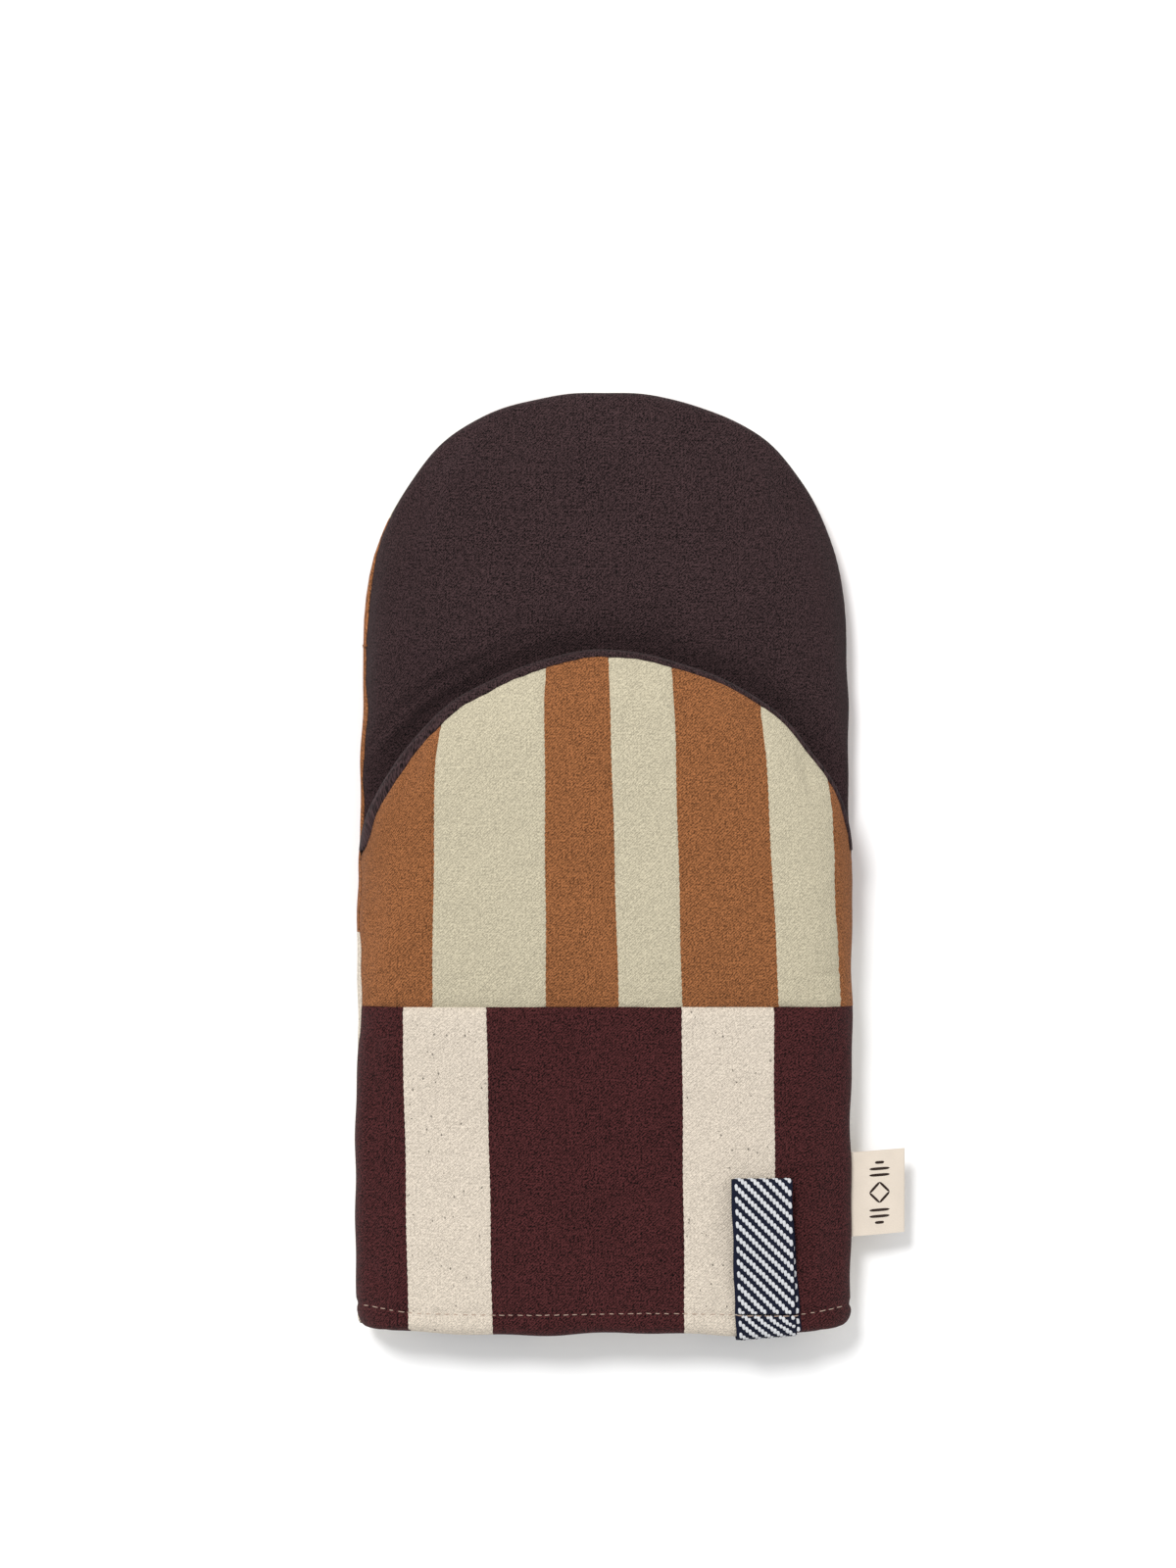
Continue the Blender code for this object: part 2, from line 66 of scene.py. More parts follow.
# ---- places read from the frame ----
JOINTS = {joint["name"]: joint for joint in frame["joints"]}
FOLD_Z = JOINTS["thumb_open"]["pos_m"][2]
LOOP_HINGE = Vector(JOINTS["loop_swing"]["pos_m"])
LABEL_HINGE = Vector(JOINTS["label_flap"]["pos_m"])
HEM_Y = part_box("front_cuff_strip_3")[0].y
FRONT_SEAM_Y = (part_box("front_cuff_strip_3")[1].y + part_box("front_dome_strip_3")[0].y) / 2
BACK_SEAM_Y = (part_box("back_cuff_strip_3")[1].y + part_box("back_dome_strip_3")[0].y) / 2
THUMB_TIP_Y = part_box("palm_thumb")[1].y
FINGER_TIP_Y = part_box("palm_fingers")[1].y
CUFF_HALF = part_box("front_cuff_strip_5")[1].x
FOLD_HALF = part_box("palm_fingers")[1].x
THUMB_TOP_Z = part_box("front_dome_strip_3")[1].z
STITCH_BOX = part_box("hem_topstitch")
STITCH_Y = (STITCH_BOX[0].y + STITCH_BOX[1].y) / 2
LOOP_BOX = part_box("hanging_loop")
TAILS_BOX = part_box("hanging_loop_tails")
LABEL_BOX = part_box("side_label")
CUFF_TOP_Z = LOOP_BOX[0].z - 0.3 * MM
PALM_SEAM_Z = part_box("palm_fingers")[0].z
THUMB_SEAM_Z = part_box("palm_thumb")[1].z

# ---- sizes of the cloth ----
SHOULDER_HALF = 77.2 * MM
FINGER_DOME_Y = 69.0 * MM
FINGER_POWER = 2.25
THUMB_POWER = 2.0
CROTCH_LENGTH = 16.0 * MM
HEM_CORNER = 7.0 * MM
CLOTH = 0.6 * MM
WADDING_DEPTH = (1.25 * MM, 3.9 * MM)
LINING_DEPTH = (4.15 * MM, 4.75 * MM)
MOUTH_GAP = 0.25 * MM                # from the fold's plane to each palm cloth
FRONT_CROWN = 0.5 * MM               # how much higher the front is in the middle than at its flanks
THUMB_TIP_DROP = 2.4 * MM            # how much thinner the thumb pocket gets towards its tip
BACK_HEM_LIFT = 1.3 * MM             # how far the back leaves the table at the hem
FINGER_CROWN = 1.2 * MM              # how much the palm swells past the thumb pocket's tip
THUMB_DIP = 4.8 * MM                 # how deep the thumb pocket's rim presses into the palm
SIDE_ROUND = 18.0 * MM               # how far in from a rim each face is rounded
DOME_ROUND = 22.0 * MM
PALM_ROUND = 17.0 * MM
RIM_FADE = 6.0 * MM                  # the cloth's unevenness dies out over this much at a rim
HEM_NOSE = 2.7 * MM                  # radius of the hem's turned edge
HEM_TURN = 6.5 * MM
STEP = 1.3 * MM
ROW_STEP = 0.95 * MM


# ---- small helpers ----
def ease(value, start, end):
    share = np.clip((value - start) / (end - start), 0, 1)
    return share * share * (3 - 2 * share)


def mix(a, b, share):
    return a + (b - a) * share


def bell(value, middle, width, power=2):
    """1 at the middle, falling smoothly to nearly 0 at twice the width."""
    return np.exp(-(((value - middle) / width) ** power))


def unit(vectors):
    """The same directions with length 1."""
    return vectors / np.maximum(np.linalg.norm(vectors, axis=-1, keepdims=True), 1e-15)


def together(*parts):
    """Coordinates stacked into points along a new last axis."""
    return np.stack(np.broadcast_arrays(*parts), axis=-1)


def run_length(points):
    """Length along the first axis of points, from 0 at the first one."""
    steps = np.linalg.norm(np.diff(points, axis=0), axis=-1)
    return np.concatenate([np.zeros((1, *steps.shape[1:])), np.cumsum(steps, axis=0)])


def placed(name, data):
    """A new object in the scene that shows data."""
    obj = bpy.data.objects.new(name, data)
    bpy.context.scene.collection.objects.link(obj)
    return obj


def smooth_noise(x, y, scale, seed):
    """Smooth noise, mostly between -1 and 1 on the plane, from crossed sines about scale long."""
    local = np.random.default_rng(seed)
    total = np.zeros(np.broadcast(x, y).shape)
    for _ in range(7):
        angle = local.uniform(0, 2 * math.pi)
        pitch = scale * local.uniform(0.7, 1.6)
        phase = local.uniform(0, 2 * math.pi)
        along = x * math.cos(angle) + y * math.sin(angle)
        total = total + np.sin(along * 2 * math.pi / pitch + phase)
    return total / 4.5


# ---- the mitt's outline ----
def bump(angle, middle, width):
    """A smooth bump at an angle in degrees, 1 at its top."""
    return bell(np.degrees(angle), middle, width)


def finger_wobble(angle):
    """The finger end is a little squarer than its superellipse, and not quite even."""
    wobble = 0.011 * bump(angle, 124, 12) + 0.011 * bump(angle, 52, 11) - 0.005 * bump(angle, 67, 5)
    return wobble - 0.005 * bump(angle, 143, 7) + 0.0015 * np.sin(23 * angle) * np.sin(angle)


def thumb_wobble(angle):
    """The thumb pocket's left flank is flatter than its right one."""
    wobble = 0.024 * bump(angle, 91, 15) - 0.007 * bump(angle, 121, 9) - 0.024 * bump(angle, 152, 17)
    wobble = wobble - 0.014 * bump(angle, 28, 7)
    return wobble + 0.0015 * np.sin(19 * angle + 1.0) * np.sin(angle)


class Outline:
    """A plan outline: straight sides up to dome_y, then a superellipse up to the tip."""

    def __init__(self, dome_y, tip_y, dome_half, power, wobble):
        self.dome_y = dome_y
        self.rise = tip_y - dome_y
        self.dome_half = dome_half
        self.power = power
        self.wobble = wobble
        angle = np.linspace(math.pi, 0, 4001)
        self.rim_x = self.radius(angle) * np.cos(angle)
        self.rim_y = dome_y + self.radius(angle) * np.sin(angle)

    def half_width(self, y, side):
        """Half width at y below the dome on one side, -1 left or 1 right, with rounded hem corners."""
        y = np.minimum(y, self.dome_y)
        cuff = mix(CUFF_HALF, FOLD_HALF, np.clip((y - STITCH_Y) / -STITCH_Y, 0, 1))
        upper = mix(FOLD_HALF, SHOULDER_HALF, np.clip(y / FINGER_DOME_Y, 0, 1))
        half = np.where(y < 0, cuff, upper)
        belly = 1.0 * MM * bell(y, -98 * MM, 24 * MM)
        taper = -0.9 * MM * ease(-y, 10 * MM, 120 * MM)
        wave = 0.28 * MM * np.sin(y / (8.3 * MM) + 2 * side) + 0.16 * MM * np.sin(y / (3.9 * MM) + side)
        wave = wave * ease(y, HEM_Y, STITCH_Y) * ease(np.abs(y), 0, 10 * MM)
        wave = wave * ease(FINGER_DOME_Y - y, 0, 10 * MM)
        into = np.clip((HEM_Y + HEM_CORNER - y) / HEM_CORNER, 0, 0.985)
        corner = HEM_CORNER * (1 - np.sqrt(1 - into ** 2))
        return half + np.where(side < 0, belly, taper) + wave - corner

    def radius(self, angle):
        """How far the rim is from the middle of the dome's base, at an angle."""
        share = (np.abs(np.cos(angle)) / self.dome_half) ** self.power
        share = share + (np.abs(np.sin(angle)) / self.rise) ** self.power
        return share ** (-1 / self.power) * (1 + self.wobble(angle) * ease(np.sin(angle), 0, 0.3))

    def distance(self, x, y):
        """About how far inside the outline a point is, in plan."""
        side = self.half_width(y, np.sign(x)) - np.abs(x)
        up = np.maximum(y - self.dome_y, 0)
        radial = self.radius(np.arctan2(up, x)) - np.hypot(x, up)
        return np.maximum(np.where(y > self.dome_y, radial, side), 0)

    def dome_top(self, x):
        """y of the rim over x."""
        return np.interp(x, self.rim_x, self.rim_y)

    def outwards(self, x, y):
        """Unit vector in plan from the middle of the dome towards the rim."""
        up = np.maximum(y - self.dome_y, 0)
        return unit(together(x / self.dome_half ** 2, up / self.rise ** 2))


FINGER_LINE = Outline(FINGER_DOME_Y, FINGER_TIP_Y, SHOULDER_HALF, FINGER_POWER, finger_wobble)
THUMB_LINE = Outline(0.0, THUMB_TIP_Y, FOLD_HALF, THUMB_POWER, thumb_wobble)


def roundness(distance, radius, power=2.2):
    """0 at the rim, 1 from radius inwards, vertical at the rim like the edge of a pillow."""
    share = np.clip(distance / radius, 0, 1)
    return (1 - (1 - share) ** power) ** (1 / power)


def side_seam_z(y):
    """Height of the seam round the cuff: low at the hem, up to the fold."""
    return mix(0.5 * CUFF_TOP_Z, FOLD_Z, ease(y, HEM_Y, -20 * MM))


def back_seam_z(y):
    """Height of the back's seam; past the fold it dips to the finger pocket's own seam."""
    return mix(side_seam_z(y), PALM_SEAM_Z, ease(y, -4 * MM, CROTCH_LENGTH))


def front_seam_z(y):
    """Height of the front's seam; past the fold it rises to the thumb pocket's own seam."""
    return mix(side_seam_z(y), THUMB_SEAM_Z, ease(y, -4 * MM, CROTCH_LENGTH))


def front_height(x, y):
    """The front's outer surface: cuff and thumb pocket."""
    inside = THUMB_LINE.distance(x, y)
    top = mix(CUFF_TOP_Z - 0.5 * MM, THUMB_TOP_Z - 0.9 * MM, ease(y, -95 * MM, -8 * MM))
    top = top - THUMB_TIP_DROP * ease(y, 18 * MM, THUMB_TIP_Y) + FRONT_CROWN * (1 - (x / FOLD_HALF) ** 2)
    radius = mix(SIDE_ROUND, DOME_ROUND, ease(y, -60 * MM, 10 * MM))
    seam = front_seam_z(y)
    return seam + (top - seam) * roundness(inside, radius)


def back_height(x, y):
    """The back's outer surface, flat on the table and lifted a little at the hem."""
    inside = FINGER_LINE.distance(x, y)
    lift = BACK_HEM_LIFT * (1 - ease(y, STITCH_Y, HEM_Y + 16 * MM))
    seam = back_seam_z(y)
    return seam - (seam - lift) * roundness(inside, SIDE_ROUND, 2.4)


def beyond_thumb(x, y):
    """How far outside the thumb pocket's rim a point is, in plan."""
    up = np.maximum(y, 0)
    return np.hypot(x, up) - THUMB_LINE.radius(np.arctan2(up, x))


def fingers_height(x, y):
    """The palm of the finger pocket; it sinks where the thumb pocket's rim presses on it."""
    inside = FINGER_LINE.distance(x, y)
    seam = back_seam_z(y)
    gap = beyond_thumb(x, y)
    crown = FINGER_CROWN * bell(gap, 24 * MM, 14 * MM) * ease(y, 30 * MM, 70 * MM)
    dip = THUMB_DIP * bell(gap, -2 * MM, 9.5 * MM) * ease(y, 6 * MM, 26 * MM)
    return seam + (FOLD_Z - MOUTH_GAP + crown - dip - seam) * roundness(inside, PALM_ROUND)


def thumb_palm_height(x, y):
    """The underside of the thumb pocket."""
    inside = THUMB_LINE.distance(x, y)
    seam = front_seam_z(y)
    return seam - (seam - FOLD_Z - MOUTH_GAP) * roundness(inside, PALM_ROUND)


# ---- grids ----
SEAM_STEPS = np.array([0.0, 0.25, 0.6, 1.1, 1.8, 2.8]) * MM
NO_STEPS = np.array([0.0])


def rim_steps(radius, count=11):
    """Distances from the rim inwards, close together at the rim where the surface is steep."""
    return radius * (1 - np.cos(np.linspace(0, math.pi / 2, count)))


def spaced(length, near, far, step):
    """Distances from 0 to length with the given fine steps at each end and even ones between."""
    near = near[near < 0.45 * length]
    far = length - far[far < 0.45 * length][::-1]
    gap = far[0] - near[-1]
    count = max(1, int(round(gap / step)))
    middle = np.linspace(near[-1], far[0], count + 1)[1:-1]
    return np.concatenate([near, middle, far])


def plan_grid(outline, bottom, step, rim, inset=0.0):
    """x and y of a grid over the whole plan above bottom, fine at the rim, drawn in by inset."""
    share = 1 - inset / outline.dome_half
    lowest = bottom + 3 * MM
    if outline.dome_y > bottom:
        fine = rim / outline.dome_half
        across = spaced(2.0, fine, fine, step / outline.dome_half) - 1
    else:
        high = outline.rim_y > max(lowest, outline.dome_y + 4 * MM) / share
        left, right = outline.rim_x[high][0], outline.rim_x[high][-1]
        middle = (left + right) / 2
        reach = (right - left) / 2
        across = spaced(2 * reach, rim, rim, step) - reach + middle
        across = across / outline.dome_half
    tops = outline.dome_y + (outline.dome_top(across * outline.dome_half) - outline.dome_y) * share
    longest = float(tops.max() - bottom)
    along = spaced(longest, NO_STEPS, rim, step) / longest
    y = bottom + (tops - bottom)[None, :] * along[:, None]
    x = np.broadcast_to(across[None, :], y.shape)
    return x * outline.half_width(np.broadcast_to(y, x.shape), np.sign(x)) * share, y


def shared_seam(left, right):
    """Fits the line x = a + b y where two CAD strips meet."""
    first = np.array([v.co for v in frame["nodes"][left].data.vertices], float)
    second = np.array([v.co for v in frame["nodes"][right].data.vertices], float)
    apart = np.linalg.norm(first[:, None, :2] - second[None, :, :2], axis=2)
    found = np.vstack([first[apart.min(axis=1) < 0.4 * MM], second[apart.min(axis=0) < 0.4 * MM]])
    slope, base = np.polyfit(found[:, 1], found[:, 0], 1)
    return base, slope


def grid_normals(points, facing):
    """Unit normals of a grid of points, turned to the side that facing says."""
    normals = unit(np.cross(np.gradient(points, axis=1), np.gradient(points, axis=0)))
    return normals * np.where(normals[..., 2:].mean() * facing < 0, -1, 1)


def grid_faces(rows, columns, start=0, flip=False):
    """Quads between the neighbours of a grid of points."""
    index = start + np.arange(rows * columns).reshape(rows, columns)
    corners = [index[:-1, :-1], index[:-1, 1:], index[1:, 1:], index[1:, :-1]]
    quads = np.stack(corners, axis=-1).reshape(-1, 4)
    return quads[:, ::-1] if flip else quads


# ---- cloth simulation ----
SIM_FRAMES = 18
SIM_SCALE = 10.0                     # the solver is steadier on a sheet ten times as large
SIM_CELL = 3.6 * MM
DRAPE_LIMIT = 0.9 * MM
CANVAS_SETTINGS = {
    "quality": 6, "mass": 0.3, "tension_stiffness": 12, "compression_stiffness": 6,
    "shear_stiffness": 4, "bending_stiffness": 0.35, "air_damping": 2,
}


class Drape:
    """How far simulated cloth stands off a panel's plain surface, over the panel's plan."""

    def __init__(self, height, outline, bottom, top, facing, slack, push, seed):
        self.outline = outline
        self.bottom = bottom
        self.top = top
        self.half = outline.dome_half
        self.offset = None
        across = np.linspace(0, 1, int(2 * self.half / SIM_CELL))
        reach = (outline.dome_y + outline.rise if top is None else top) - bottom
        along = np.linspace(0, 1, int(reach / SIM_CELL))
        x = np.broadcast_to((2 * across - 1) * self.half, (len(along), len(across)))
        y = bottom + (self.top_of(x) - bottom) * along[:, None]
        plain = together(x, y, height(x, y))
        found = simulate(plain, grid_normals(plain, facing), slack, push, seed)
        self.offset = DRAPE_LIMIT * np.tanh(found / DRAPE_LIMIT)

    def top_of(self, x):
        """y where the panel ends over x."""
        if self.top is not None:
            return np.full(np.shape(x), self.top)
        return np.maximum(self.outline.dome_top(x), self.outline.dome_y + 1 * MM)

    def __call__(self, x, y):
        """Stand-off at x, y, read from the coarse grid."""
        if self.offset is None:
            return np.zeros(np.shape(x))
        rows, columns = self.offset.shape
        a = np.clip((x / self.half + 1) / 2, 0, 1) * (columns - 1)
        t = np.clip((y - self.bottom) / (self.top_of(x) - self.bottom), 0, 1) * (rows - 1)
        i = np.clip(a.astype(int), 0, columns - 2)
        j = np.clip(t.astype(int), 0, rows - 2)
        u = a - i
        v = t - j
        u = u * u * (3 - 2 * u)
        v = v * v * (3 - 2 * v)
        grid = self.offset
        low = mix(grid[j, i], grid[j, i + 1], u)
        high = mix(grid[j + 1, i], grid[j + 1, i + 1], u)
        return mix(low, high, v)


def simulate(plain, outward, slack, push, seed):
    """Runs pressure and slack on a pinned sheet, and returns its stand-off along outward."""
    rows, columns = plain.shape[:2]
    uneven = 0.25 * MM * smooth_noise(plain[..., 0], plain[..., 1], 26 * MM, seed)
    start = (plain + outward * uneven[..., None]).reshape(-1, 3) * SIM_SCALE
    mesh = bpy.data.meshes.new("drape")
    mesh.from_pydata(start.tolist(), [], grid_faces(rows, columns).tolist())
    obj = placed("drape", mesh)
    group = obj.vertex_groups.new(name="held")
    index = np.arange(rows * columns).reshape(rows, columns)
    border = np.zeros((rows, columns), bool)
    border[[0, -1], :] = True
    border[:, [0, -1]] = True
    group.add(index[border].tolist(), 1.0, "REPLACE")
    cloth = obj.modifiers.new("cloth", "CLOTH")
    for key, value in CANVAS_SETTINGS.items():
        setattr(cloth.settings, key, value)
    cloth.settings.vertex_group_mass = "held"
    cloth.settings.shrink_min = -slack
    cloth.settings.use_pressure = True
    cloth.settings.uniform_pressure_force = push
    cloth.settings.effector_weights.gravity = 0
    cloth.collision_settings.use_collision = False
    cloth.point_cache.frame_start = 1
    cloth.point_cache.frame_end = SIM_FRAMES
    for number in range(1, SIM_FRAMES + 1):
        bpy.context.scene.frame_set(number)
    found = obj.evaluated_get(bpy.context.evaluated_depsgraph_get()).to_mesh()
    flat = np.zeros(rows * columns * 3)
    found.vertices.foreach_get("co", flat)
    moved = flat.reshape(rows, columns, 3) / SIM_SCALE
    bpy.context.scene.frame_set(1)
    bpy.data.objects.remove(obj, do_unlink=True)
    return np.sum((moved - plain) * outward, axis=-1)


# ---- the mitt's outer faces ----
class Face:
    """One outer face: its height over the plan, and how far its cloth stands off that height."""

    def __init__(self, outline, facing, height, stand):
        self.outline = outline
        self.facing = facing
        self.height = height
        self.stand = stand

    def at(self, x, y):
        """Points on the outside of the cloth, and unit vectors out of it."""
        small = 0.12 * MM
        dx = (self.height(x + small, y) - self.height(x - small, y)) / (2 * small)
        dy = (self.height(x, y + small) - self.height(x, y - small)) / (2 * small)
        out = unit(together(-dx, -dy, 1.0) * self.facing)
        points = together(x, y, self.height(x, y))
        return points + out * self.stand(x, y)[..., None], out


def seam_hollow(y, seam_y):
    """A broad hollow along the seam across the mitt."""
    return -0.22 * MM * bell(y, seam_y, 5 * MM)


def front_stand(x, y):
    """Draped and a little uneven, but pressed flat under the hanging loop."""
    stand = np.where(y > FRONT_SEAM_Y, FRONT_DOME_DRAPE(x, y), FRONT_CUFF_DRAPE(x, y))
    stand = stand + 0.14 * MM * smooth_noise(x, y, 14 * MM, 5) + seam_hollow(y, FRONT_SEAM_Y)
    stand = stand * ease(THUMB_LINE.distance(x, y), 0, RIM_FADE)
    tape = bell(x, LOOP_HINGE.x, 15 * MM, 4) * ease(-y, 88 * MM, 100 * MM)
    return mix(stand, np.minimum(stand, 0) * 0.3, tape)


def back_stand(x, y):
    """The back can't go below the table, so only its rounded sides are uneven."""
    stand = np.where(y > BACK_SEAM_Y, BACK_DOME_DRAPE(x, y), BACK_CUFF_DRAPE(x, y))
    stand = stand + 0.12 * MM * smooth_noise(x, y, 13 * MM, 8) + seam_hollow(y, BACK_SEAM_Y)
    stand = stand * ease(FINGER_LINE.distance(x, y), 0, RIM_FADE)
    return np.where(stand > 0, stand * ease(back_height(x, y), 0.5 * MM, 4 * MM), stand * 0.6)


def fingers_stand(x, y):
    """Draped, with small folds round the thumb pocket's rim that fade towards the right."""
    gap = beyond_thumb(x, y)
    folds = 0.42 * MM * np.cos(gap / (0.95 * MM) + 1.3 * np.sin(x / (9 * MM)))
    folds = folds * bell(gap, 8 * MM, 5 * MM) * ease(-x, -10 * MM, 55 * MM)
    stand = FINGERS_DRAPE(x, y) + 0.16 * MM * smooth_noise(x, y, 16 * MM, 32) + folds
    return stand * ease(y, 22 * MM, 48 * MM) * ease(FINGER_LINE.distance(x, y), 0, RIM_FADE)


def thumb_palm_stand(x, y):
    stand = -0.12 * MM * np.abs(smooth_noise(x, y, 12 * MM, 41))
    return stand * ease(THUMB_LINE.distance(x, y), 0, RIM_FADE)


FRONT = Face(THUMB_LINE, 1, front_height, front_stand)
BACK = Face(FINGER_LINE, -1, back_height, back_stand)
FINGERS = Face(FINGER_LINE, 1, fingers_height, fingers_stand)
THUMB_PALM = Face(THUMB_LINE, -1, thumb_palm_height, thumb_palm_stand)
FRONT_DOME_DRAPE = Drape(front_height, THUMB_LINE, FRONT_SEAM_Y, None, 1, 0.012, 1.2, 21)
FRONT_CUFF_DRAPE = Drape(front_height, FINGER_LINE, HEM_Y, FRONT_SEAM_Y, 1, 0.012, 1.2, 22)
BACK_DOME_DRAPE = Drape(back_height, FINGER_LINE, BACK_SEAM_Y, None, -1, 0.008, 0.5, 23)
BACK_CUFF_DRAPE = Drape(back_height, FINGER_LINE, HEM_Y, BACK_SEAM_Y, -1, 0.008, 0.5, 24)
FINGERS_DRAPE = Drape(fingers_height, FINGER_LINE, 0.0, None, 1, 0.010, 1.0, 25)


# ---- meshes ----
def border_faces(rows, columns, flip):
    """Quads that join the borders of two grids of the same size, one after the other."""
    index = np.arange(rows * columns).reshape(rows, columns)
    loop = np.concatenate([index[0, :], index[1:, -1], index[-1, -2::-1], index[-2:0:-1, 0]])
    after = np.roll(loop, -1)
    back = rows * columns
    quads = np.stack([loop, loop + back, after + back, after], axis=-1)
    return quads[:, ::-1] if flip else quads


def slab(name, outer, inner, facing, mat, cloth_xy):
    """A closed piece of cloth between two grids of points."""
    rows, columns = outer.shape[:2]
    points = np.concatenate([outer.reshape(-1, 3), inner.reshape(-1, 3)])
    flip = facing < 0
    faces = np.concatenate([
        grid_faces(rows, columns, 0, flip),
        grid_faces(rows, columns, rows * columns, not flip),
        border_faces(rows, columns, flip),
    ])
    return add_mesh(name, points, faces, mat, np.concatenate([cloth_xy.reshape(-1, 2)] * 2))


def add_mesh(name, points, faces, mat, cloth_xy=None):
    """A smooth mesh object. Its cloth attribute says, in mm, where each point lies on the flat cloth."""
    mesh = bpy.data.meshes.new(name)
    mesh.from_pydata(np.asarray(points).tolist(), [], [list(map(int, f)) for f in faces])
    mesh.update()
    mesh.validate()
    mesh.shade_smooth()
    mesh.set_sharp_from_angle(angle=math.radians(60))
    if cloth_xy is None:
        cloth_xy = np.asarray(points)[:, :2]
    attribute = mesh.attributes.new("cloth", "FLOAT_VECTOR", "POINT")
    lying = np.zeros((len(points), 3), np.float32)
    lying[:, :2] = cloth_xy / MM
    attribute.data.foreach_set("vector", lying.ravel())
    mesh.materials.append(mat)
    return placed(name, mesh)


# ---- materials ----
class Nodes:
    """A short way to write a node tree."""

    def __init__(self, name):
        self.mat = bpy.data.materials.new(name)
        self.mat.use_nodes = True
        self.tree = self.mat.node_tree
        self.shader = self.tree.nodes["Principled BSDF"]

    def add(self, kind, inputs, **settings):
        node = self.tree.nodes.new(kind)
        for key, value in settings.items():
            setattr(node, key, value)
        for key, value in inputs.items():
            if isinstance(value, bpy.types.NodeSocket):
                self.tree.links.new(value, node.inputs[key])
            else:
                node.inputs[key].default_value = value
        return node

    def math(self, operation, a, b=0.0, c=0.0):
        return self.add("ShaderNodeMath", {0: a, 1: b, 2: c}, operation=operation).outputs[0]

    def times(self, a, b):
        return self.math("MULTIPLY", a, b)

    def wave(self, along, turn):
        return self.math("SINE", self.times(along, turn))

    def vary(self, tone, source, weight):
        """Adds a weighted noise, which lies round 0.5, to a tone."""
        return self.math("MULTIPLY_ADD", self.math("SUBTRACT", source, 0.5), weight, tone)

    def cloth_place(self):
        """Where a point lies on the flat cloth, in mm."""
        return self.add("ShaderNodeAttribute", {}, attribute_name="cloth").outputs["Vector"]

    def object_place(self):
        return self.add("ShaderNodeTexCoord", {}).outputs["Object"]

    def noise(self, vector, scale, detail=2.0, roughness=0.5, distortion=0.0):
        inputs = {"Vector": vector, "Scale": scale, "Detail": detail}
        inputs.update({"Roughness": roughness, "Distortion": distortion})
        return self.add("ShaderNodeTexNoise", inputs).outputs["Fac"]

    def scaled(self, vector, factors):
        node = self.add("ShaderNodeVectorMath", {0: vector, 1: factors}, operation="MULTIPLY")
        return node.outputs["Vector"]

    def tones(self, factor, colour, dark, light, edge=0.0):
        """The colour at factor 0.5, its dark shade at edge and its light one as far past 0.5."""
        node = self.add("ShaderNodeValToRGB", {"Fac": factor})
        elements = node.color_ramp.elements
        elements.new(0.5)
        for element, place, shown in zip(elements, (edge, 0.5, 1 - edge), (dark, 1.0, light)):
            element.position = place
            element.color = (*shade(colour, shown), 1.0)
        return node.outputs["Color"]

    def lay(self, factor, under, colour):
        """Lays a plain colour over another by a factor."""
        inputs = {0: factor, 6: under, 7: (*colour, 1.0)}
        return self.add("ShaderNodeMix", inputs, data_type="RGBA").outputs[2]

    def bump(self, height, strength, distance, normal=None):
        inputs = {"Height": height, "Strength": strength, "Distance": distance}
        if normal is not None:
            inputs["Normal"] = normal
        return self.add("ShaderNodeBump", inputs).outputs["Normal"]

    def finish(self, colour, roughness, normal, sheen):
        inputs = self.shader.inputs
        self.tree.links.new(colour, inputs["Base Color"])
        self.tree.links.new(normal, inputs["Normal"])
        inputs["Roughness"].default_value = roughness
        inputs["Specular IOR Level"].default_value = 0.10
        inputs["Sheen Weight"].default_value = sheen
        inputs["Sheen Roughness"].default_value = 0.5
        return self.mat


def shade(colour, factor):
    """A colour made darker or lighter by a factor."""
    return tuple(min(1.0, max(0.0, c * factor)) for c in colour)


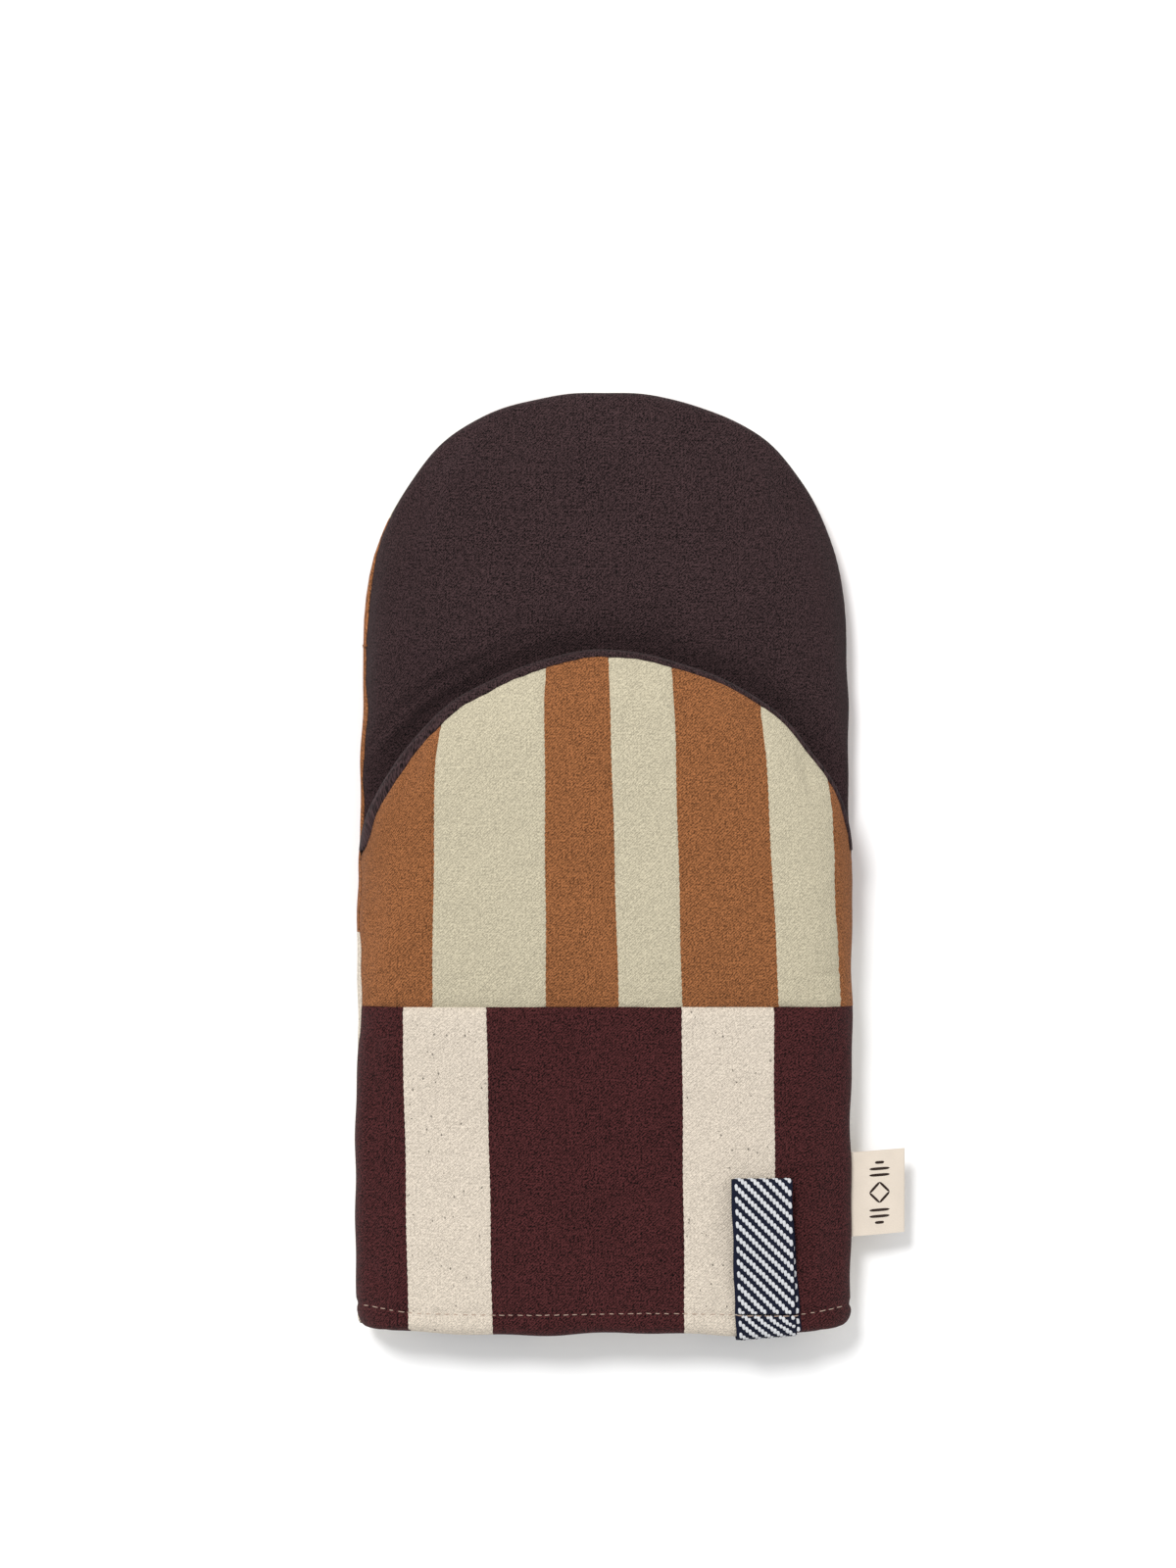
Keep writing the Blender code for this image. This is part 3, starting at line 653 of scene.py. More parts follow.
def canvas(name, colour, spread, pitch=0.72, twill=0.5, specks=0.0, crepe=0.0):
    """Woven cloth: threads both ways with a diagonal rib, uneven yarns, mottling and seed specks."""
    n = Nodes(name)
    place = n.cloth_place()
    waver = n.noise(place, 0.30, 3.0)
    split = n.add("ShaderNodeSeparateXYZ", {"Vector": place})
    u = n.math("MULTIPLY_ADD", waver, 1.1, split.outputs["X"])
    v = n.math("MULTIPLY_ADD", waver, -1.1, split.outputs["Y"])
    turn = 2 * math.pi / pitch
    plain = n.times(n.wave(u, turn), n.wave(v, turn))
    diagonal = n.wave(n.math("SUBTRACT", u, v), turn * 0.72)
    weave = n.math("ADD", n.times(plain, 1 - twill), n.times(diagonal, twill))
    grain = n.noise(place, 1.6, 4.0, 0.8)
    tone = n.math("MULTIPLY_ADD", weave, 0.30, 0.5)
    for yarn in ((1.6, 0.14, 1.0), (0.14, 1.6, 1.0)):
        tone = n.vary(tone, n.noise(n.scaled(place, yarn), 1.0, 2.0, 0.6), 0.35)
    tone = n.vary(tone, grain, 5.6)
    tone = n.vary(tone, n.noise(place, 0.45, 2.0, 0.6), 0.7)
    tone = n.vary(tone, n.noise(place, 0.045, 3.0, 0.55), 0.22)
    shown = n.tones(tone, colour, 1 - spread, 1 + spread)
    if specks:
        inputs = {"Vector": n.scaled(place, (0.42, 0.30, 1.0)), "Scale": 1.0, "Randomness": 1.0}
        seeds = n.add("ShaderNodeTexVoronoi", inputs, feature="F1")
        near = n.math("LESS_THAN", seeds.outputs["Distance"], 0.13)
        rare = n.math("GREATER_THAN", n.noise(place, 0.6, 1.0), 0.50)
        shown = n.lay(n.times(n.times(near, rare), specks), shown, shade(colour, 0.22))
        slub = n.math("GREATER_THAN", n.noise(n.scaled(place, (0.9, 0.16, 1.0)), 1.0, 1.0), 0.66)
        shown = n.lay(n.times(slub, specks * 0.12), shown, shade(colour, 0.72))
    normal = n.bump(n.math("ADD", n.times(weave, 0.5), n.times(grain, 1.2)), 0.8, 0.20 * MM)
    if crepe:
        ripple = n.noise(n.scaled(place, (0.22, 0.30, 1.0)), 1.0, 3.0, 0.6, 0.6)
        normal = n.bump(ripple, crepe, 2.0 * MM, normal)
    return n.finish(shown, 0.95, normal, 0.05)


def plain_cloth(name, colour, scale, sheen=0.1):
    """Felt, thread or ribbon: soft fibres without a visible weave."""
    n = Nodes(name)
    place = n.object_place()
    fibres = n.noise(place, scale, 4.0, 0.7, 0.8)
    tone = n.vary(fibres, n.noise(place, scale * 0.08, 3.0, 0.6), 0.6)
    shown = n.tones(tone, colour, 0.78, 1.14, 0.15)
    return n.finish(shown, 0.95, n.bump(fibres, 0.6, 0.3 * MM), sheen)


RUST = canvas("rust_canvas", (0.240, 0.092, 0.034), 0.64, twill=0.75)
SAGE = canvas("sage_canvas", (0.480, 0.431, 0.313), 0.29, twill=0.55, crepe=0.10)
BURGUNDY = canvas("burgundy_canvas", (0.0465, 0.0117, 0.0122), 1.0, twill=0.65)
NATURAL = canvas("natural_canvas", (0.600, 0.528, 0.438), 0.27, twill=0.4, specks=0.8, crepe=0.16)
BROWN = canvas("brown_canvas", (0.0337, 0.0186, 0.0197), 0.98, twill=0.5, crepe=0.18)
LINING = canvas("lining_cotton", (0.600, 0.560, 0.480), 0.15, pitch=0.5, twill=0.0)
WADDING = plain_cloth("wadding_felt", (0.750, 0.740, 0.700), 900)
THREAD = plain_cloth("sewing_thread", (0.420, 0.310, 0.245), 4000)

DOME_CLOTHS = (RUST, SAGE, RUST, SAGE, RUST, SAGE, RUST)
CUFF_CLOTHS = (BURGUNDY, NATURAL, BURGUNDY, NATURAL, BURGUNDY)
BACK_CUFF_CLOTHS = (NATURAL, BURGUNDY, NATURAL, BURGUNDY, NATURAL)


def declare(obj, body, nodes, bends=False):
    """Hangs a piece on its body, or bakes it in place when bends is set, and hides the CAD nodes it
    stands for.
    """
    if bends:
        bend_at_fold(obj)
    else:
        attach(obj, body)
    if nodes:
        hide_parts(*nodes)


def bend_at_fold(obj):
    """Bakes the transform of cloth over the fold into its mesh."""
    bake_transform(obj)


# ---- patchwork skins ----
def crease(distance, depth):
    """The narrow valley where two strips are sewn together."""
    return -depth * np.exp(-distance / (0.55 * MM))


def lip_width(x, y):
    """How far the thumb pocket's brown cloth rolls over its rim: wide at the left and top."""
    lean = np.clip(0.62 - 0.55 * x / FOLD_HALF, 0.12, 1.0)
    ragged = 1 + 0.05 * np.sin(x / (2.3 * MM)) + 0.04 * np.sin(x / (0.9 * MM))
    return 2.7 * MM * lean * ragged * ease(y, -1 * MM, 10 * MM)


LEAST_OVER = 0.12 * MM


def over_width(x, y):
    """How far the back's cloth rolls over the seam: about 1 mm at the left, next to nothing elsewhere."""
    uneven = 0.8 + 0.3 * np.sin(y / (6.5 * MM) + 1.0) + 0.15 * np.sin(y / (2.4 * MM))
    left = ease(-x, 55 * MM, 74 * MM) * ease(y, -62 * MM, -48 * MM) * (1 - ease(y, 80 * MM, 125 * MM))
    fold = 1 - 0.75 * bell(y, 3 * MM, 5 * MM)
    return LEAST_OVER + 1.05 * MM * left * uneven * fold


def stitch_line_y(x):
    """The topstitch runs a little unevenly, and rises towards both sides."""
    wander = 0.3 * MM * np.sin(x / (13 * MM) + 0.5)
    return STITCH_Y + wander + 1.9 * MM * ease(np.abs(x), 58 * MM, 78 * MM)


def stitch_dent(x, y):
    """How far the topstitch pulls the cloth in, with small gathers beside it."""
    middle = stitch_line_y(x)
    gather = 0.16 * MM * np.sin(x / (1.7 * MM)) * bell(y, middle, 4 * MM)
    return 0.55 * MM * bell(y, middle, 1.1 * MM) + gather


def hem_wave(x):
    """The hem's edge waves a little along its length."""
    return 0.45 * MM * np.sin(x / (11 * MM) + 0.8) + 0.28 * MM * np.sin(x / (4.7 * MM) + 2.0)


class Panel:
    """A patchwork panel of a face, cut into strips along its seams."""

    def __init__(self, name, cloths, face, bottom, top):
        self.name = name
        self.cloths = cloths
        self.face = face
        self.bottom = bottom
        self.top = top
        self.at_hem = top is not None
        pairs = range(1, len(cloths))
        self.lines = [shared_seam(f"{name}_strip_{i}", f"{name}_strip_{i + 1}") for i in pairs]

    def edge_x(self, i, y):
        """x at y of the edge left of strip i; the first and last edges are the mitt's sides."""
        if i == 0:
            return -self.face.outline.half_width(y, -1)
        if i == len(self.cloths):
            return self.face.outline.half_width(y, 1)
        base, slope = self.lines[i - 1]
        ragged = 0.10 * MM * np.sin(y / (7.0 * MM) + 2.1 * i) + 0.11 * MM * np.sin(y / (0.41 * MM) + i)
        return base + slope * y + ragged

    def seam_distance(self, x, y):
        """Distance to the nearest seam between strips."""
        return np.min([np.abs(x - self.edge_x(i + 1, y)) for i in range(len(self.lines))], axis=0)

    def tops(self, i, across):
        """y where each column of strip i meets the dome's rim, found by halving."""
        outline = self.face.outline
        low = np.full(across.shape, outline.dome_y)
        high = np.full(across.shape, outline.dome_y + 1.05 * outline.rise)
        for _ in range(40):
            y = (low + high) / 2
            x = mix(self.edge_x(i, y), self.edge_x(i + 1, y), across)
            below = y < outline.dome_top(x)
            low = np.where(below, y, low)
            high = np.where(below, high, y)
        return low

    def grid(self, i):
        """x, y and depth below the face over strip i: columns run up the strip, rows cross it.

        Depth is only used where the cloth turns in round the hem.
        """
        widest_y = self.bottom + 15 * MM
        width = float(self.edge_x(i + 1, widest_y) - self.edge_x(i, widest_y))
        near = rim_steps(SIDE_ROUND) if i == 0 else SEAM_STEPS
        far = rim_steps(SIDE_ROUND) if i == len(self.cloths) - 1 else SEAM_STEPS
        across = spaced(width, near, far, STEP) / width
        if self.at_hem:
            turn = np.linspace(math.pi, 0, 11)
            inner_y = np.linspace(HEM_TURN, HEM_NOSE, 4)[:-1]
            up = spaced(self.top - self.bottom - HEM_NOSE, NO_STEPS, SEAM_STEPS, ROW_STEP)[1:] + HEM_NOSE
            rows = np.concatenate([inner_y, HEM_NOSE * (1 - np.sin(turn)), up])
            inner_depth = np.full(len(inner_y), 2 * HEM_NOSE)
            depth = np.concatenate([inner_depth, HEM_NOSE * (1 - np.cos(turn)), np.zeros(len(up))])
            y = np.broadcast_to((self.bottom + rows)[:, None], (len(rows), len(across)))
        else:
            outline = self.face.outline
            longest = outline.dome_y + outline.rise - self.bottom
            along = spaced(longest, SEAM_STEPS, rim_steps(SIDE_ROUND), ROW_STEP) / longest
            y = self.bottom + (self.tops(i, across) - self.bottom)[None, :] * along[:, None]
            depth = np.zeros(len(along))
        x = mix(self.edge_x(i, y), self.edge_x(i + 1, y), across[None, :])
        return x, y, np.broadcast_to(depth[:, None], x.shape)


def draw_in(x, y):
    """Draws the front's strips in from the rim, to leave the lip's width free."""
    away = THUMB_LINE.outwards(x, y)
    near = np.clip(1 - THUMB_LINE.distance(x, y) / (12 * MM), 0, 1) ** 1.5
    width = (lip_width(x, y) - 0.1 * MM) * near
    return x - away[..., 0] * width, y - away[..., 1] * width


def turned_over(edge):
    """Rows of points that carry the back's edge over the seam, on to the palm or the front."""
    x, y = edge[..., 0], edge[..., 1]
    away = FINGER_LINE.outwards(x, y)
    over = over_width(x, y)
    rolls = 0.04 + 0.96 * np.clip((over - LEAST_OVER) / (0.3 * MM), 0, 1)
    up = ease(y, -3 * MM, 9 * MM)[..., None]
    rows = []
    for share in (0.03, 0.10, 0.22, 0.40, 0.65, 0.90, 1.0):
        px = x - away[..., 0] * over * share
        py = y - away[..., 1] * over * share
        on_palm, palm_out = FINGERS.at(px, py)
        on_front, front_out = FRONT.at(px, py)
        lift = (0.42 - 0.28 * share ** 4) * MM
        spot = mix(on_front, on_palm, up) + mix(front_out, palm_out, up) * lift
        rows.append(mix(edge, spot, rolls[..., None]))
    return np.stack(rows)


def rolled_over(panel, i, points):
    """Adds the back's turned-over edge, beside its outer columns and past its last row."""
    if not panel.at_hem:
        points = np.concatenate([points, turned_over(points[-1])])
    if i == 0:
        side = np.swapaxes(turned_over(points[:, 0]), 0, 1)[:, ::-1]
        points = np.concatenate([side, points], axis=1)
    return points


def lying_flat(points, anchor):
    """Where each point lies on the unrolled cloth, measured from the anchor column."""
    across = run_length(np.swapaxes(points, 0, 1)).T
    across = across - across[:, anchor][:, None] + points[:, anchor, 0][:, None]
    return together(across, run_length(points))


def seam_relief(panel, x, y):
    """Valleys and puckers along the seams, and the edge of the lip, all gone at the rim."""
    seam = panel.seam_distance(x, y)
    cross = np.abs(y - (panel.top if panel.at_hem else panel.bottom))
    uneven = 1 + 0.5 * smooth_noise(x, y, 9 * MM, 11)
    stand = (crease(seam, 0.26 * MM) + crease(cross, 0.5 * MM)) * uneven
    beside_seam = np.exp(-seam / (2.6 * MM))
    beside_cross = np.exp(-cross / (2.6 * MM))
    pucker = np.sin(y / (0.62 * MM) + 3 * np.sin(y / (9 * MM))) * beside_seam
    pucker = pucker + np.sin(x / (0.66 * MM) + 3 * np.sin(x / (8 * MM))) * beside_cross
    stand = stand + 0.05 * MM * pucker + 0.05 * MM * smooth_noise(x, y, 4.6 * MM, 6)
    inside = panel.face.outline.distance(x, y)
    if panel.name == "front_dome":
        lip = np.where(y < 2 * MM, np.inf, np.abs(THUMB_LINE.distance(x, y) - lip_width(x, y)))
        stand = stand + crease(lip, 0.35 * MM)
        inside = inside + 3 * MM * ease(y, -8 * MM, 2 * MM)
    return stand * ease(inside, 0, 3 * MM)


def build_panel(panel, bends=False):
    """Each strip of a panel as its own closed piece of cloth."""
    face = panel.face
    for i, mat in enumerate(panel.cloths):
        x, y, depth = panel.grid(i)
        if panel.name == "front_dome":
            x, y = draw_in(x, y)
        points, out = face.at(x, y)
        stand = seam_relief(panel, x, y)
        if panel.at_hem:
            stand = (stand - stitch_dent(x, y)) * np.clip(1 - depth / (0.5 * MM), 0, 1)
        if face.facing < 0:
            stand = np.minimum(stand, 0)
        moved = points + out * (stand - depth)[..., None]
        if panel.at_hem:
            moved[..., 1] += hem_wave(x) * (1 - ease(y, HEM_Y, HEM_Y + 9 * MM))
        if face.facing < 0:
            moved[..., 2] = np.maximum(moved[..., 2], 0.03 * MM)
            moved = rolled_over(panel, i, moved)
        lower = moved - grid_normals(moved, face.facing) * CLOTH
        name = f"{panel.name}_strip_{i + 1}"
        flat_xy = lying_flat(moved, -1 if i == 0 else 0) + 37.0 * i * MM
        declare(slab(f"{name}_cloth", moved, lower, face.facing, mat, flat_xy), "hand", [name], bends)


# ---- the palm: brown cloth inside the mouth ----
def palm_piece(name, points, out, facing, body, node):
    """A palm cloth whose outside is points, one cloth thick."""
    flat_xy = lying_flat(points, points.shape[1] // 2)
    declare(slab(name, points, points - out * CLOTH, facing, BROWN, flat_xy), body, [node])


def build_palm_fingers():
    x, y = plan_grid(FINGER_LINE, 0.0, STEP, rim_steps(PALM_ROUND, 12))
    points, out = FINGERS.at(x, y)
    fine = 0.05 * MM * smooth_noise(x, y, 4.6 * MM, 33) * ease(FINGER_LINE.distance(x, y), 0, 3 * MM)
    palm_piece("palm_cloth_fingers", points + out * fine[..., None], out, 1, "hand", "palm_fingers")


def build_palm_thumb():
    """The thumb pocket's palm cloth, with the lip that rolls over its rim up to the seam."""
    x, y = plan_grid(THUMB_LINE, 0.0, 1.7 * MM, rim_steps(PALM_ROUND, 11))
    points, out = THUMB_PALM.at(x, y)
    rim = together(x[-1], y[-1])
    away = THUMB_LINE.outwards(x[-1], y[-1])
    width = lip_width(x[-1], y[-1]) + 0.5 * MM
    lip_points, lip_out = [], []
    for share in (0.06, 0.15, 0.28, 0.45, 0.62, 0.78, 0.9, 1.0):
        spot = rim - away * (width * share)[:, None]
        on_front, up = FRONT.at(spot[:, 0], spot[:, 1])
        swell = 0.42 * MM * math.sin(math.pi * min(1.0, share * 0.8 + 0.1)) ** 0.6
        gather = 0.06 * MM * np.sin(run_length(rim) / (0.7 * MM)) * share
        lip_points.append(on_front + up * (swell - 0.22 * MM * share ** 4 + gather)[..., None])
        lip_out.append(up)
    points = np.concatenate([points, np.stack(lip_points)])
    out = np.concatenate([out, np.stack(lip_out)])
    palm_piece("palm_cloth_thumb", points, out, -1, "thumb", "palm_thumb")


# ---- wadding and linings ----
def layer(looks, name, face, bottom, body, nodes, bends=False, straight=False):
    """A layer between two depths below a face, measured straight down if straight."""
    depths, mat, step, pad = looks
    inset = depths[1] + 1.5 * MM if straight else 1.2 * MM
    x, y = plan_grid(face.outline, bottom, step, rim_steps(SIDE_ROUND, 7), inset)
    points, out = face.at(x, y)
    if straight:
        out = np.zeros_like(out)
        out[..., 2] = face.facing
    soft = 0.10 * MM * np.abs(smooth_noise(x, y, 14 * MM, 52))
    outer = points - out * (depths[0] + soft)[..., None]
    inner = points - out * (depths[1] - soft)[..., None]
    obj = slab(name, outer, inner, face.facing, mat, together(x, y))
    declare(obj, body, nodes, bends)


def build_layers():
    """Wadding and lining sheets: the front's runs over the fold in one piece, the pockets' palms end at
    the crotch.
    """
    for kind, start, looks in (("wadding", HEM_Y + 3.4 * MM, (WADDING_DEPTH, WADDING, 3.5 * MM, 0.5)),
                               ("lining", HEM_Y + 3.2 * MM, (LINING_DEPTH, LINING, 2.0 * MM, None))):
        front = [f"{kind}_front_cuff", f"{kind}_front_thumb"]
        layer(looks, f"{kind}_front_sheet", FRONT, start, None, front, bends=True)
        layer(looks, f"{kind}_back_sheet", BACK, start, "hand", [f"{kind}_back"])
        for part, face, body in (("fingers", FINGERS, "hand"), ("thumb", THUMB_PALM, "thumb")):
            node = f"{kind}_palm_{part}"
            layer(looks, f"{node}_sheet", face, CROTCH_LENGTH, body, [node], straight=True)


# ---- stitches ----
def tube(path, radius, sides=8, flat=1.0):
    """Points and faces of a closed tube along a path, its ends drawn to a point."""
    path = np.asarray(path, float)
    count = len(path)
    ahead = unit(np.gradient(path, axis=0))
    up = np.tile(np.array([0.0, 0.0, 1.0]), (count, 1))
    up[np.abs(ahead[:, 2]) > 0.9] = (0.0, 1.0, 0.0)
    across = unit(np.cross(ahead, up))
    up = np.cross(across, ahead)
    share = np.linspace(0, 1, count)
    swell = np.sqrt(np.clip(1 - (2 * share - 1) ** 4, 0.02, 1)) * radius
    turns = np.linspace(0, 2 * math.pi, sides, endpoint=False)[None, :, None]
    ring = np.cos(turns) * across[:, None, :] + flat * np.sin(turns) * up[:, None, :]
    points = (path[:, None, :] + swell[:, None, None] * ring).reshape(-1, 3)
    last = (count - 1) * sides
    faces = []
    for i in range(0, last, sides):
        for j in range(sides):
            k = (j + 1) % sides
            faces.append((i + j, i + k, i + sides + k, i + sides + j))
    faces.append(tuple(range(sides))[::-1])
    faces.append(tuple(range(last, last + sides)))
    return points, faces


def join(parts):
    """Points and faces of several parts as one mesh."""
    points = []
    faces = []
    start = 0
    for part_points, part_faces in parts:
        points.append(part_points)
        faces += [tuple(start + i for i in face) for face in part_faces]
        start += len(part_points)
    return np.concatenate(points), faces


def build_joined(name, parts, mat, body, nodes):
    """Many small parts as one piece."""
    points, faces = join(parts)
    declare(add_mesh(name, points, faces, mat), body, nodes)


def build_stitches():
    """The hem's topstitch: single stitches, front and back, that press on the tape they cross."""
    pitch = 2.9 * MM
    gap = 0.60 * MM
    half_tape = 10.4 * MM
    parts = []
    for face in (FRONT, BACK):
        x = -CUFF_HALF + 2.0 * MM
        while x < CUFF_HALF - 5.0 * MM:
            length = (pitch - gap) * rng.uniform(0.82, 1.1)
            tilt = rng.uniform(-0.12, 0.12) * MM
            px = np.linspace(x, x + length, 7)
            py = stitch_line_y(px) + np.linspace(-tilt, tilt, 7)
            bow = np.sin(np.linspace(0, math.pi, 7))
            points, out = face.at(px, py)
            points = points - out * (stitch_dent(px, py) + (0.14 - 0.26 * bow) * MM)[..., None]
            if face is FRONT and abs(px.mean() - LOOP_HINGE.x) < half_tape:
                points[:, 2] = TAPE_TOP_Z + (0.12 * bow - 0.16) * MM
            parts.append(tube(points, 0.15 * MM, 8, 0.8))
            x += pitch
    build_joined("hem_stitches", parts, THREAD, "hand", ["hem_topstitch"])


def build_tacks():
    """Loose thread ends at the two corners of the fold."""
    for side, name in ((-1, "left"), (1, "right")):
        parts = []
        edge = float(THUMB_LINE.half_width(0.0, side))
        share = np.linspace(0, 1, 11)
        for k in range(3):
            x = side * (edge - 2.6 * MM + 1.2 * MM * share + 0.25 * MM * k)
            y = (-3.5 + 0.8 * k) * MM + (2.2 + 0.9 * k) * MM * share ** 1.5
            z = FOLD_Z + 0.9 * MM + 0.8 * MM * np.sin(share * math.pi) - 0.8 * MM * share
            parts.append(tube(together(x, y, z + 0.25 * MM * k), 0.13 * MM, 6))
        build_joined(f"fold_tack_{name}", parts, THREAD, "hand", [])


# ---- hanging loop ----
TAPE_WIDTH = 19.2 * MM
TAPE_HALF_THICK = 0.20 * MM
TAPE_LEAN = -0.030
TAPE_COLUMNS = 18
COLUMN = 0.985 * MM
RIB_PITCH = 3.95 * MM
RIB_STEP = 0.26 * RIB_PITCH          # how far each thread's floats lie behind its neighbour's
FLOAT_REACH = 1.10 * MM

NAVY = plain_cloth("tape_navy", (0.0085, 0.0105, 0.024), 5200, 0.03)
WHITE = plain_cloth("tape_white", (0.60, 0.61, 0.63), 3600, 0.05)


def resample(path, step):
    """The same path with its points about a step apart."""
    path = np.asarray(path, float)
    length = run_length(path)
    at = np.linspace(0, length[-1], max(4, int(length[-1] / step)) + 1)
    return together(*(np.interp(at, length, column) for column in path.T))


def smooth_path(path):
    """Rounds the corners of a polyline by averaging along it."""
    fine = resample(path, 0.3 * MM)
    for _ in range(60):
        fine[1:-1] = (fine[:-2] + 2 * fine[1:-1] + fine[2:]) / 4
    return fine


class Tape:
    """A length of tape along a side view of (y, z, x drift), starting at the topstitch.

    Going along the path the tape's face is on the left. The ground is navy; white and navy warp
    threads float on it in turn, each thread a little behind the one before, so they make diagonal
    ribs. A rib goes towards -x as it goes along the path by sense.
    """

    def __init__(self, path, sense, first, lift):
        self.path = resample(smooth_path(path), 0.5 * MM)
        step = unit(np.gradient(self.path[:, :2], axis=0))
        self.face = together(-step[:, 1], step[:, 0])
        self.length = run_length(self.path[:, :2])
        self.sense = sense
        self.first = first
        self.lift = lift

    def at(self, across, along, off):
        """Points on the tape: across it, along it and off its middle plane."""
        y, z, drift = (np.interp(along, self.length, self.path[:, k]) for k in range(3))
        face_y, face_z = (np.interp(along, self.length, self.face[:, k]) for k in range(2))
        y = y + face_y * off + self.lift * (across / TAPE_WIDTH + 0.5) * ease(along, 2 * MM, 6 * MM)
        x = LOOP_HINGE.x + TAPE_LEAN * (y - STITCH_Y) + across + drift
        return together(x, y, z + face_z * off)

    def ground(self):
        """The navy weave under the floats: a thin closed band with thinner selvedges."""
        across = np.linspace(-0.5, 0.5, 23) * TAPE_WIDTH
        thin = np.clip((0.5 * TAPE_WIDTH - np.abs(across)) / (0.7 * MM), 0, 1)
        half = TAPE_HALF_THICK * (0.5 + 0.5 * np.sqrt(thin))
        wander = 0.15 * MM * np.sin(self.length / (3.1 * MM) + self.first)[:, None]
        along = self.length[:, None]
        skins = [self.at(across[None, :] + wander, along, side * half[None, :]) for side in (1, -1)]
        rows, columns = skins[0].shape[:2]
        points = np.concatenate([skin.reshape(-1, 3) for skin in skins])
        other = grid_faces(rows, columns, rows * columns, True)
        faces = np.concatenate([grid_faces(rows, columns), other, border_faces(rows, columns, False)])
        return points, faces.tolist()

    def floats(self, dark):
        """Short threads in ribs on both faces; the dark ones lie half a pitch behind the white ones."""
        parts = []
        behind = 0.5 * RIB_PITCH if dark else 0.0
        for side in (1, -1):
            for j in range(TAPE_COLUMNS):
                centre = -0.5 * TAPE_WIDTH + 1.1 * MM + (j + 0.5) * COLUMN
                radius = (0.56 if j == TAPE_COLUMNS - 1 else 0.50) * (0.84 if dark else 1.0) * MM
                start = self.first - self.sense * j * RIB_STEP + behind
                k = math.floor(-start / RIB_PITCH)
                while start + k * RIB_PITCH < self.length[-1] + RIB_PITCH:
                    middle = start + k * RIB_PITCH + rng.uniform(-0.08, 0.08) * MM
                    k += 1
                    reach = FLOAT_REACH * rng.uniform(0.93, 1.07)
                    low = max(middle - reach, 0.0)
                    high = min(middle + reach, self.length[-1])
                    if high - low < 0.7 * MM:
                        continue
                    share = np.linspace(0, 1, 7)
                    rise = (0.08 if dark else 0.14) * np.sin(share * math.pi) ** 0.7 * MM
                    across = centre - self.sense * 0.14 * MM * (2 * share - 1)
                    path = self.at(across, mix(low, high, share), side * (TAPE_HALF_THICK + rise))
                    parts.append(tube(path, radius, 6 if dark else 8, 0.36))
        return parts


def build_tape(name, path, sense, first, body, nodes, lift=0.0):
    """A length of tape in two pieces: the navy ground with its threads, and the white threads."""
    tape = Tape(path, sense, first, lift)
    build_joined(f"{name}_navy", [tape.ground(), *tape.floats(dark=True)], NAVY, body, nodes)
    build_joined(f"{name}_white", tape.floats(dark=False), WHITE, body, [])


def arc_points(centre, radius, start_deg, end_deg, steps):
    """Points of an arc in a plane, from one angle to another."""
    angle = np.radians(np.linspace(start_deg, end_deg, steps))
    return together(centre[0] + radius * np.cos(angle), centre[1] + radius * np.sin(angle))


LOWER_Z = LOOP_BOX[0].z + 0.45 * MM
UPPER_Z = LOWER_Z + 0.93 * MM
TAPE_TOP_Z = UPPER_Z + TAPE_HALF_THICK + 0.20 * MM
TAIL_LIFT = 1.6 * MM                 # the tails' right edge turns under higher up than their left one


def build_loop():
    """Starts on the upper layer at the topstitch, runs to the fold and back underneath."""
    sewn = STITCH_Y + 0.30 * MM
    radius = 1.70 * MM
    top_z = LOWER_Z + 2 * radius
    fold_y = LOOP_BOX[1].y - radius - 0.6 * MM
    upper = [
        (sewn, UPPER_Z, 0.0),
        (mix(sewn, fold_y, 0.20), UPPER_Z + 0.5 * MM, 0.0),
        (mix(sewn, fold_y, 0.55), top_z - 0.2 * MM, 0.0),
        (fold_y, top_z, 0.0),
    ]
    bend = [(y, z, 0.0) for y, z in arc_points((fold_y, LOWER_Z + radius), radius, 80, -90, 13)]
    lower = [(mix(sewn, fold_y, 0.6), LOWER_Z, 0.5 * MM), (sewn, LOWER_Z, 1.4 * MM)]
    build_tape("hanging_loop", upper + bend + lower, 1, 0.9 * MM, "loop", ["hanging_loop"])


def build_tails():
    """The tape below the topstitch: down over the hem and inside it."""
    start = STITCH_Y - 0.10 * MM
    edge = TAILS_BOX[0].y + 0.35 * MM
    inside_z = CUFF_TOP_Z - 2 * HEM_NOSE - 0.75 * MM
    path = [
        (start, UPPER_Z, 0.0),
        (edge + 1.6 * MM, UPPER_Z - 0.35 * MM, 0.2 * MM),
        (edge, UPPER_Z - 2.2 * MM, 0.3 * MM),
        (edge, inside_z + 1.6 * MM, 0.3 * MM),
        (edge + 1.5 * MM, inside_z, 0.3 * MM),
        (HEM_Y + 7.5 * MM, inside_z, 0.3 * MM),
    ]
    build_tape("hanging_loop_tails", path, -1, -1.3 * MM, "hand", ["hanging_loop_tails"], TAIL_LIFT)
    under = [
        (start, LOWER_Z, 1.4 * MM),
        (edge + 2.4 * MM, LOWER_Z, 1.6 * MM),
        (edge + 1.6 * MM, LOWER_Z - 0.1 * MM, 1.6 * MM),
    ]
    build_tape("hanging_loop_under", under, -1, 0.4 * MM, "hand", [], TAIL_LIFT)


